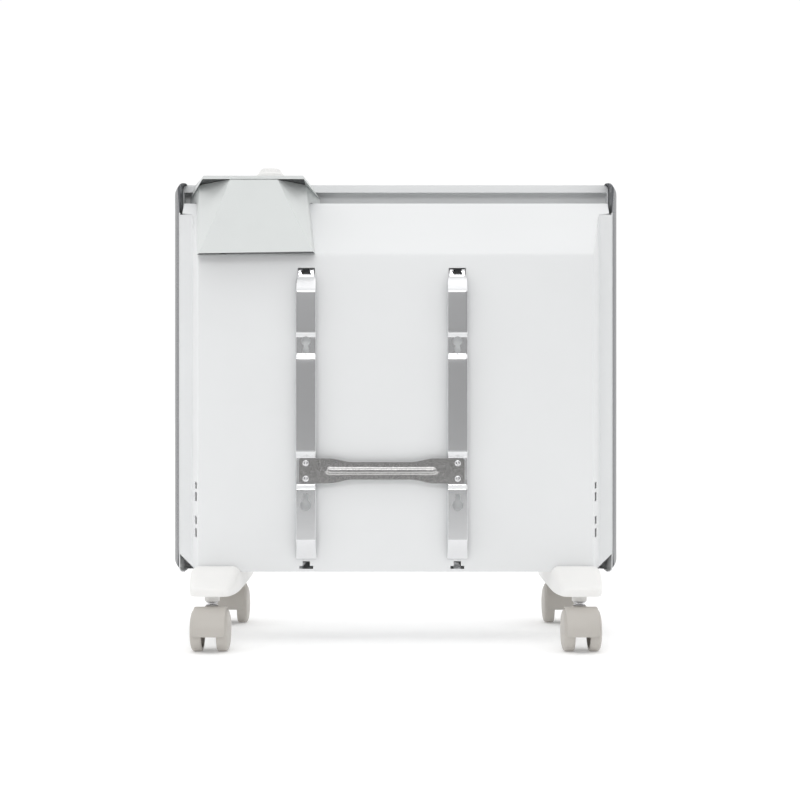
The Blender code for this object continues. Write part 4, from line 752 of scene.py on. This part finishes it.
ease_edges("control_housing", "unit_housing", 0.0005, "heater", unit_plastic, 3)
ease_edges("control_lid", "unit_lid", 0.0004, "heater", unit_plastic, 3)


# THERMOSTAT KNOB. A warm white moulded knob with finger scallops round a tapering grip, pushed on to
# the thermostat's shaft.

knob_low, knob_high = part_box("thermostat_knob")
knob_x = (knob_low[0] + knob_high[0]) / 2
knob_y = (knob_low[1] + knob_high[1]) / 2
knob_radius = (knob_high[0] - knob_low[0]) / 2
knob_tall = knob_high[2] - knob_low[2]
warm_white = grained("warm white plastic", (0.85, 0.845, 0.83), 0.40, grain=1300, depth=0.1, cloudy=0.02)


def knob_surface(rise, turn):
    """Radius at a share of the height and an angle: a skirt, then a grip that tapers to the top, with
    twelve shallow scallops cos(12 a) that fade out at the skirt and at the top's rounded edge."""
    levels = [0, 0.06, 0.16, 0.38, 0.48, 0.60, 0.86, 0.95, 1.0]
    sizes = [0.93, 0.99, 1.0, 0.97, 0.90, 0.84, 0.74, 0.69, 0.60]
    radius = np.interp(rise, levels, sizes)
    grip = ease(rise, 0.40, 0.55) * (1 - ease(rise, 0.90, 1.0))
    return knob_radius * (radius - 0.055 * grip * (0.5 - 0.5 * np.cos(12 * turn)))


rise, turn = np.meshgrid(np.linspace(0, 1, 33), np.linspace(0, 2 * np.pi, 145)[:-1], indexing="ij")
radius = knob_surface(rise, turn)
wall = np.stack([
    knob_x + radius * np.cos(turn), knob_y + radius * np.sin(turn), knob_low[2] + rise * knob_tall,
], -1)
centre_line = np.array([knob_x, knob_y, 0])
rings = [(wall[:1] - centre_line) * [share, share, 1] + centre_line for share in (0, 0.5)]
rings.append(wall)
for share in (0.85, 0.6, 0.3, 0.0):  # the top, dished slightly towards its middle
    ring = (wall[-1:] - centre_line) * [share, share, 1] + centre_line
    ring[..., 2] -= 0.0006 * ease(1 - share, 0.1, 0.6)
    rings.append(ring)
spots = np.concatenate(rings)
knob = make_piece(
    "dial_knob", spots, grid_quads(len(spots), spots.shape[1], True), "knob", warm_white, sharp=35
)
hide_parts("thermostat_knob")
dress("thermostat_shaft", bright_steel)


# POWER SWITCH, LAMP AND GROMMET. A rocker in a snap-in frame, a small neon lamp behind a red lens, and
# the rubber ring where the mains lead enters the unit.

ease_edges("switch_frame", "rocker_frame", 0.0003, "heater", black_case)
ease_edges("power_rocker", "rocker_key", 0.0003, "rocker", black_case)
red_lens = grained("red lens", (0.62, 0.03, 0.02), 0.12, depth=0.01, cloudy=0.15)
dress("pilot_lamp", red_lens)
soft_rubber = grained("black rubber", (0.03, 0.03, 0.031), 0.62, grain=700, depth=0.2)
dress("cord_grommet", soft_rubber)


# FEET. Two warm white mouldings run from front to back under the casing and carry a castor at each end.
# They are hollow below and slope down to their tips, and a low lip stands behind the casing's edge.

foot_low, foot_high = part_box("foot_left")
foot_x = (foot_low[0] + foot_high[0]) / 2
foot_rear, foot_front = foot_high[1], foot_low[1]
foot_under = 0.0526
foot_corner_round = 0.005
stem_places = (0.0925, -0.1075)
# Lengths and heights along the top, from the front: the front slope, the seats under the front panel
# and under the casing, the lip behind the casing, and a long slope to the rear.
foot_line = np.array([
    (foot_front, 0.0607), (-0.0518, 0.0640), (-0.0512, 0.0642), (-0.0259, 0.0642), (-0.0256, 0.0702),
    (0.0557, 0.0702), (0.0559, 0.0738), (0.0566, 0.0758), (0.0580, 0.0763), (0.0660, 0.0763),
    (0.0705, 0.0751), (foot_rear, 0.0607),
])


def foot_half(y):
    """Half the foot's width along its length: bowed sides, w = 17.5 + 6.7 (1 - s^6) in millimetres, with
    s from 0 in the middle to 1 at the ends, and the ends' corners rounded on a 5 mm radius."""
    reach = (foot_rear - foot_front) / 2
    away = np.abs(y - (foot_rear + foot_front) / 2)
    short = np.clip(foot_corner_round - (reach - away), 0, foot_corner_round)
    cut = foot_corner_round - np.sqrt(foot_corner_round**2 - short**2)
    return 0.0175 + 0.0067 * (1 - (away / reach) ** 6) - cut


end_steps = foot_corner_round * (1 - np.cos(np.linspace(0, np.pi / 2, 9)))
foot_y = np.unique(np.concatenate([
    np.linspace(foot_front, foot_rear, 90), foot_line[:, 0], foot_rear - end_steps, foot_front + end_steps,
]))
foot_w = foot_half(foot_y)
foot_z = np.interp(foot_y, foot_line[:, 0], foot_line[:, 1])
seat_front, seat_rear = -0.0520, 0.0558
seated = (foot_y > seat_front) & (foot_y < seat_rear)
bevel = np.where(seated, 0.0006, np.minimum(0.0078, 0.45 * foot_w))
drop = np.where(seated, 0.0006, np.minimum(0.0068, 0.36 * (foot_z - foot_under)))
end_near = np.minimum(foot_rear - foot_y, foot_y - foot_front)
end_round = 0.0012 * (1 - ease(end_near, 0.0, 0.0015))
round_turn = np.linspace(0, np.pi / 2, 8)
pocket_end = 0.014
pocket_deep = 0.0075
pocketed = (foot_y > stem_places[1] + pocket_end) & (foot_y < stem_places[0] - pocket_end)
# Radius and height of the ring round each stem, which starts inside the foot and stands out below it.
socket_profile = np.array([
    (0.0038, foot_under + 0.0010), (0.0038, 0.0463), (0.0042, 0.0463), (0.0066, 0.0463), (0.0071, 0.0464),
    (0.0072, 0.0470), (0.0074, 0.0520), (0.0080, 0.0527), (0.0080, foot_under + 0.0010),
])
for side_name, side in (("left", 1), ("right", -1)):
    # One closed section for each length: hollow underneath, up the side, round the edge, over the top.
    half_x = [
        np.minimum(0.0180, foot_w - 0.0032), np.minimum(0.0180, foot_w - 0.0030),
        foot_w - 0.0010, foot_w - 0.0002, foot_w,
    ]
    half_z = [np.where(pocketed, foot_under + pocket_deep, foot_under)]
    half_z += [np.full(foot_y.size, foot_under + lift) for lift in (0, 0, 0.0003, 0.0012)]
    for a in round_turn:
        half_x.append(foot_w - bevel * (1 - np.cos(a)))
        half_z.append(foot_z - end_round - drop * (1 - np.sin(a)))
    for share in (0.6, 0.25):
        half_x.append((foot_w - bevel) * share)
        half_z.append(foot_z - end_round)
    half_x, half_z = np.stack(half_x, -1), np.stack(half_z, -1)
    spots = np.concatenate([
        np.stack([half_x, np.repeat(foot_y[:, None], half_x.shape[1], 1), half_z], -1),
        np.stack([-half_x, np.repeat(foot_y[:, None], half_x.shape[1], 1), half_z], -1)[:, ::-1],
    ], 1) + [side * foot_x, 0, 0]
    around = spots.shape[1]
    caps = [list(range(around)), list(range((foot_y.size - 1) * around, foot_y.size * around))]
    foot = make_piece(
        f"foot_moulding_{side_name}", spots,
        grid_quads(foot_y.size, around, round_columns=True).tolist() + caps, "heater", warm_white, sharp=50
    )
    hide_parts(f"foot_{side_name}")
    for place_y, end in zip(stem_places, ("rear", "front")):
        turn = np.linspace(0, 2 * np.pi, 49)[:-1]
        spots = np.stack([
            side * foot_x + socket_profile[:, :1] * np.cos(turn),
            place_y + socket_profile[:, :1] * np.sin(turn),
            np.repeat(socket_profile[:, 1:], turn.size, 1),
        ], -1)
        socket = make_piece(
            f"stem_socket_{side_name}_{end}", spots, grid_quads(len(spots), turn.size, True, True), "heater",
            warm_white, sharp=40
        )
for side_name in ("left", "right"):
    for end in ("front", "rear"):
        dress(f"foot_screw_{side_name}_{end}", bright_steel)


# CASTORS. Each has a plated stem in the foot's socket, a taupe moulded hood that trails behind the stem
# and covers two wheels, and a steel axle through all three. The wheels are hard plastic cups.

taupe = grained("taupe plastic", (0.50, 0.475, 0.44), 0.44, grain=1200, depth=0.14, cloudy=0.05)
wheel_radius = 0.020
wheel_inner_face = 0.0070
trail = 0.013


def turned_piece(name, profile, axis_place, axis, body, finish, steps=64):
    """A closed profile of (radius, distance along the axis) turned about a line through a place:
    x, y, z = place + radius (cos a, sin a) across the axis + distance along it."""
    profile = np.asarray(profile, float)
    a = np.linspace(0, 2 * np.pi, steps + 1)[:-1]
    ring = np.stack([
        profile[:, :1] * np.cos(a), profile[:, :1] * np.sin(a), np.repeat(profile[:, 1:], steps, 1),
    ], -1)
    ring = ring[..., [2, 0, 1]] if axis == "x" else ring
    spots = ring + np.asarray(axis_place, float)
    return make_piece(name, spots, grid_quads(len(profile), steps, True, True), body, finish)


hood_radius = 0.02233
hood_end_round = 0.003


def hood_surface(axle, wide):
    """Outer skin of the hood. Along its length it is an arc about the axle, from beside the stem over
    the top and down the trailing side. Its two long edges are rounded, and the corners of its lower
    end are cut on a 3 mm radius."""
    turn = np.radians(np.concatenate([np.linspace(121, 2, 38), np.linspace(0, -10, 8)]))
    edge = 0.0012
    t = np.linspace(0, np.pi / 2, 5)
    side = np.concatenate([-wide + edge * (1 - np.sin(t[::-1])), wide - edge * (1 - np.sin(t))])
    drop = np.concatenate([edge * (1 - np.cos(t[::-1])), edge * (1 - np.cos(t))])
    radius = hood_radius - drop
    left = np.clip(1 - hood_radius * (turn - turn[-1]) / hood_end_round, 0, 1)
    narrowed = (wide - hood_end_round * (1 - np.sqrt(1 - left**2))) / wide
    y = axle[1] + radius[None, :] * np.cos(turn)[:, None]
    z = axle[2] + radius[None, :] * np.sin(turn)[:, None]
    x = axle[0] + side[None, :] * narrowed[:, None]
    return np.stack([x, y, z], -1)


for end, stem_y in (("rear", stem_places[0]), ("front", stem_places[1])):
    for side_name, side in (("left", 1), ("right", -1)):
        castor = f"castor_{end}_{side_name}"
        stem = np.array([side * foot_x, stem_y, 0.0])
        axle = np.array([side * foot_x, stem_y + trail, wheel_radius])
        skin = hood_surface(axle, 0.0158)
        hood = make_piece(
            f"{castor}_cover", skin, grid_quads(*skin.shape[:2]), castor, taupe,
            (axle + [0, 0, hood_radius], (0, 0, 1)), 40
        )
        give_thickness(hood, 0.0015)
        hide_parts(f"{castor}_hood")

        # The web between the wheels is moulded with the hood, and holds the axle and the stem.
        below = np.radians(np.linspace(180, 330, 12))
        above = np.radians(np.linspace(25, 112, 12))
        web_side = np.concatenate([
            np.stack([0.0062 * np.cos(below), 0.0062 * np.sin(below)], -1),
            [(0.0150, 0.0030), (0.0200, 0.0070)],
            np.stack([0.0215 * np.cos(above), 0.0215 * np.sin(above)], -1),
            [(-trail - 0.0068, 0.0185), (-trail - 0.0068, 0.0120), (-0.0085, 0.0050)],
        ])
        middle = web_side.mean(0)
        layers = []
        for x, share in (
            (-0.0043, 0.0), (-0.0043, 0.90), (-0.0037, 1.0), (0.0037, 1.0), (0.0043, 0.90), (0.0043, 0.0),
        ):
            outline = middle + (web_side - middle) * share
            layers.append(np.column_stack([np.full(len(outline), x), outline]))
        web = make_piece(
            f"{castor}_web", np.stack(layers) + axle, grid_quads(len(layers), len(web_side), True), castor,
            taupe, sharp=40
        )
        seat = turned_piece(
            f"{castor}_stem_seat",
            [(0.0038, 0.0330), (0.0064, 0.0330), (0.0068, 0.0336), (0.0068, 0.0414), (0.0062, 0.0420),
             (0.0038, 0.0420)],
            stem, "z", castor, taupe, 48
        )

        pin = turned_piece(
            f"{castor}_pin",
            [(0.0, 0.0336), (0.0035, 0.0336), (0.0035, 0.0424), (0.0056, 0.0424), (0.0059, 0.0427),
             (0.0056, 0.0433), (0.0040, 0.0437), (0.0035, 0.0439), (0.0035, 0.0447), (0.0058, 0.0449),
             (0.0061, 0.0453), (0.0060, 0.0459), (0.0035, 0.0461), (0.0035, 0.0576), (0.0029, 0.0583),
             (0.0, 0.0583)],
            stem, "z", castor, bright_steel, 48
        )
        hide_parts(f"{castor}_stem")
        rod = turned_piece(
            f"{castor}_rod",
            [(0.0, -0.0163), (0.0017, -0.0163), (0.0020, -0.0160), (0.0020, 0.0160), (0.0017, 0.0163),
             (0.0, 0.0163)],
            axle, "x", castor, bright_steel, 32
        )
        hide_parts(f"{castor}_axle")
        for label, way in (("left", 1), ("right", -1)):
            half_profile = np.array([
                (0.0, 0.0097), (0.0023, 0.0097), (0.0023, 0.0002), (0.0026, 0.0), (0.0044, 0.0),
                (0.0047, 0.0003), (0.0050, 0.0074), (0.0058, 0.0080), (0.0158, 0.0072), (0.0165, 0.0066),
                (0.0170, 0.0006), (0.0176, 0.0001), (0.0190, 0.0001), (0.0197, 0.0005), (0.0200, 0.0012),
                (0.0200, 0.0078), (0.0196, 0.0092), (0.0188, 0.0101), (0.0176, 0.0107), (0.0150, 0.0114),
                (0.0115, 0.0118), (0.0112, 0.0116), (0.0108, 0.0118), (0.0060, 0.0122), (0.0, 0.0123),
            ])
            half_profile[:, 1] = way * (wheel_inner_face + half_profile[:, 1])
            wheel = turned_piece(
                f"{castor}_roller_{label}", half_profile, axle, "x", f"{castor}_wheel_{label[0]}", taupe, 72
            )
            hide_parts(f"{castor}_wheel_{label}")


# FLOOR AND LIGHT. A pale table that ends short of the camera, with a faint glow painted into it: painted
# light that keeps the table white and fills in the shadow under the heater. Three soft lights stand above the
# camera, at the control unit's end and overhead. The room is white beyond the object and overhead, and dim
# behind the camera.

floor_spots = np.stack(np.broadcast_arrays(
    np.linspace(-9, 9, 10)[None, :], np.linspace(-14, 1.2, 9)[:, None], np.zeros((1, 1))
), -1)
floor_mesh = bpy.data.meshes.new("table")
floor_mesh.from_pydata(floor_spots.reshape(-1, 3).tolist(), [], grid_quads(9, 10).tolist())
floor_paint_and_glow = bpy.data.materials.new("table paint with painted glow")
floor_paint_and_glow.use_nodes = True
paint_inputs = floor_paint_and_glow.node_tree.nodes["Principled BSDF"].inputs
paint_inputs["Base Color"].default_value = (0.93, 0.93, 0.93, 1)
paint_inputs["Roughness"].default_value = 0.9
# The emission is painted light: a glow that keeps the table white and lightens the shadow under the heater.
paint_inputs["Emission Color"].default_value = (1, 1, 1, 1)
paint_inputs["Emission Strength"].default_value = 0.15
floor_mesh.materials.append(floor_paint_and_glow)
floor = bpy.data.objects.new("table", floor_mesh)
bpy.context.scene.collection.objects.link(floor)

world = bpy.data.worlds.new("studio")
bpy.context.scene.world = world
world.use_nodes = True
sky, sky_links = world.node_tree.nodes, world.node_tree.links
look = sky.new("ShaderNodeTexCoord")
parts = sky.new("ShaderNodeSeparateXYZ")
around = sky.new("ShaderNodeMapRange")
around.interpolation_type = "SMOOTHSTEP"
around.inputs["From Min"].default_value = 0.0
around.inputs["From Max"].default_value = 0.85
around.inputs["To Min"].default_value = 1.02
around.inputs["To Max"].default_value = 0.34
overhead = sky.new("ShaderNodeMapRange")
overhead.interpolation_type = "SMOOTHSTEP"
overhead.inputs["From Min"].default_value = 0.25
overhead.inputs["From Max"].default_value = 0.9
blend = sky.new("ShaderNodeMix")
blend.data_type = "FLOAT"
blend.inputs["B"].default_value = 1.05
sky_links.new(look.outputs["Generated"], parts.inputs["Vector"])
sky_links.new(parts.outputs["Y"], around.inputs["Value"])
sky_links.new(parts.outputs["Z"], overhead.inputs["Value"])
sky_links.new(around.outputs["Result"], blend.inputs["A"])
sky_links.new(overhead.outputs["Result"], blend.inputs["Factor"])
sky_links.new(blend.outputs["Result"], sky["Background"].inputs["Color"])
sky["Background"].inputs["Strength"].default_value = 1.0


def soft_light(name, place, target, size, power):
    """A square softbox at a place, turned to face a target."""
    lamp = bpy.data.lights.new(name, "AREA")
    lamp.shape = "RECTANGLE"
    lamp.size, lamp.size_y = size
    lamp.energy = power
    holder = bpy.data.objects.new(name, lamp)
    holder.location = place
    toward = np.subtract(target, place)
    tilt = np.arctan2(np.hypot(toward[0], toward[1]), -toward[2])
    holder.rotation_euler = (tilt, 0, np.arctan2(toward[1], toward[0]) - np.pi / 2)
    bpy.context.scene.collection.objects.link(holder)


soft_light("key_light", (0.1, 1.8, 1.15), (0, 0, 0.30), (0.8, 0.5), 6.5)
soft_light("side_light", (1.7, 0.8, 0.9), (0, 0, 0.25), (0.8, 1.0), 1.2)
soft_light("top_light", (0, 0.5, 2.2), (0, 0.05, 0.2), (2.2, 1.2), 6)
bpy.context.scene.view_settings.view_transform = "Standard"
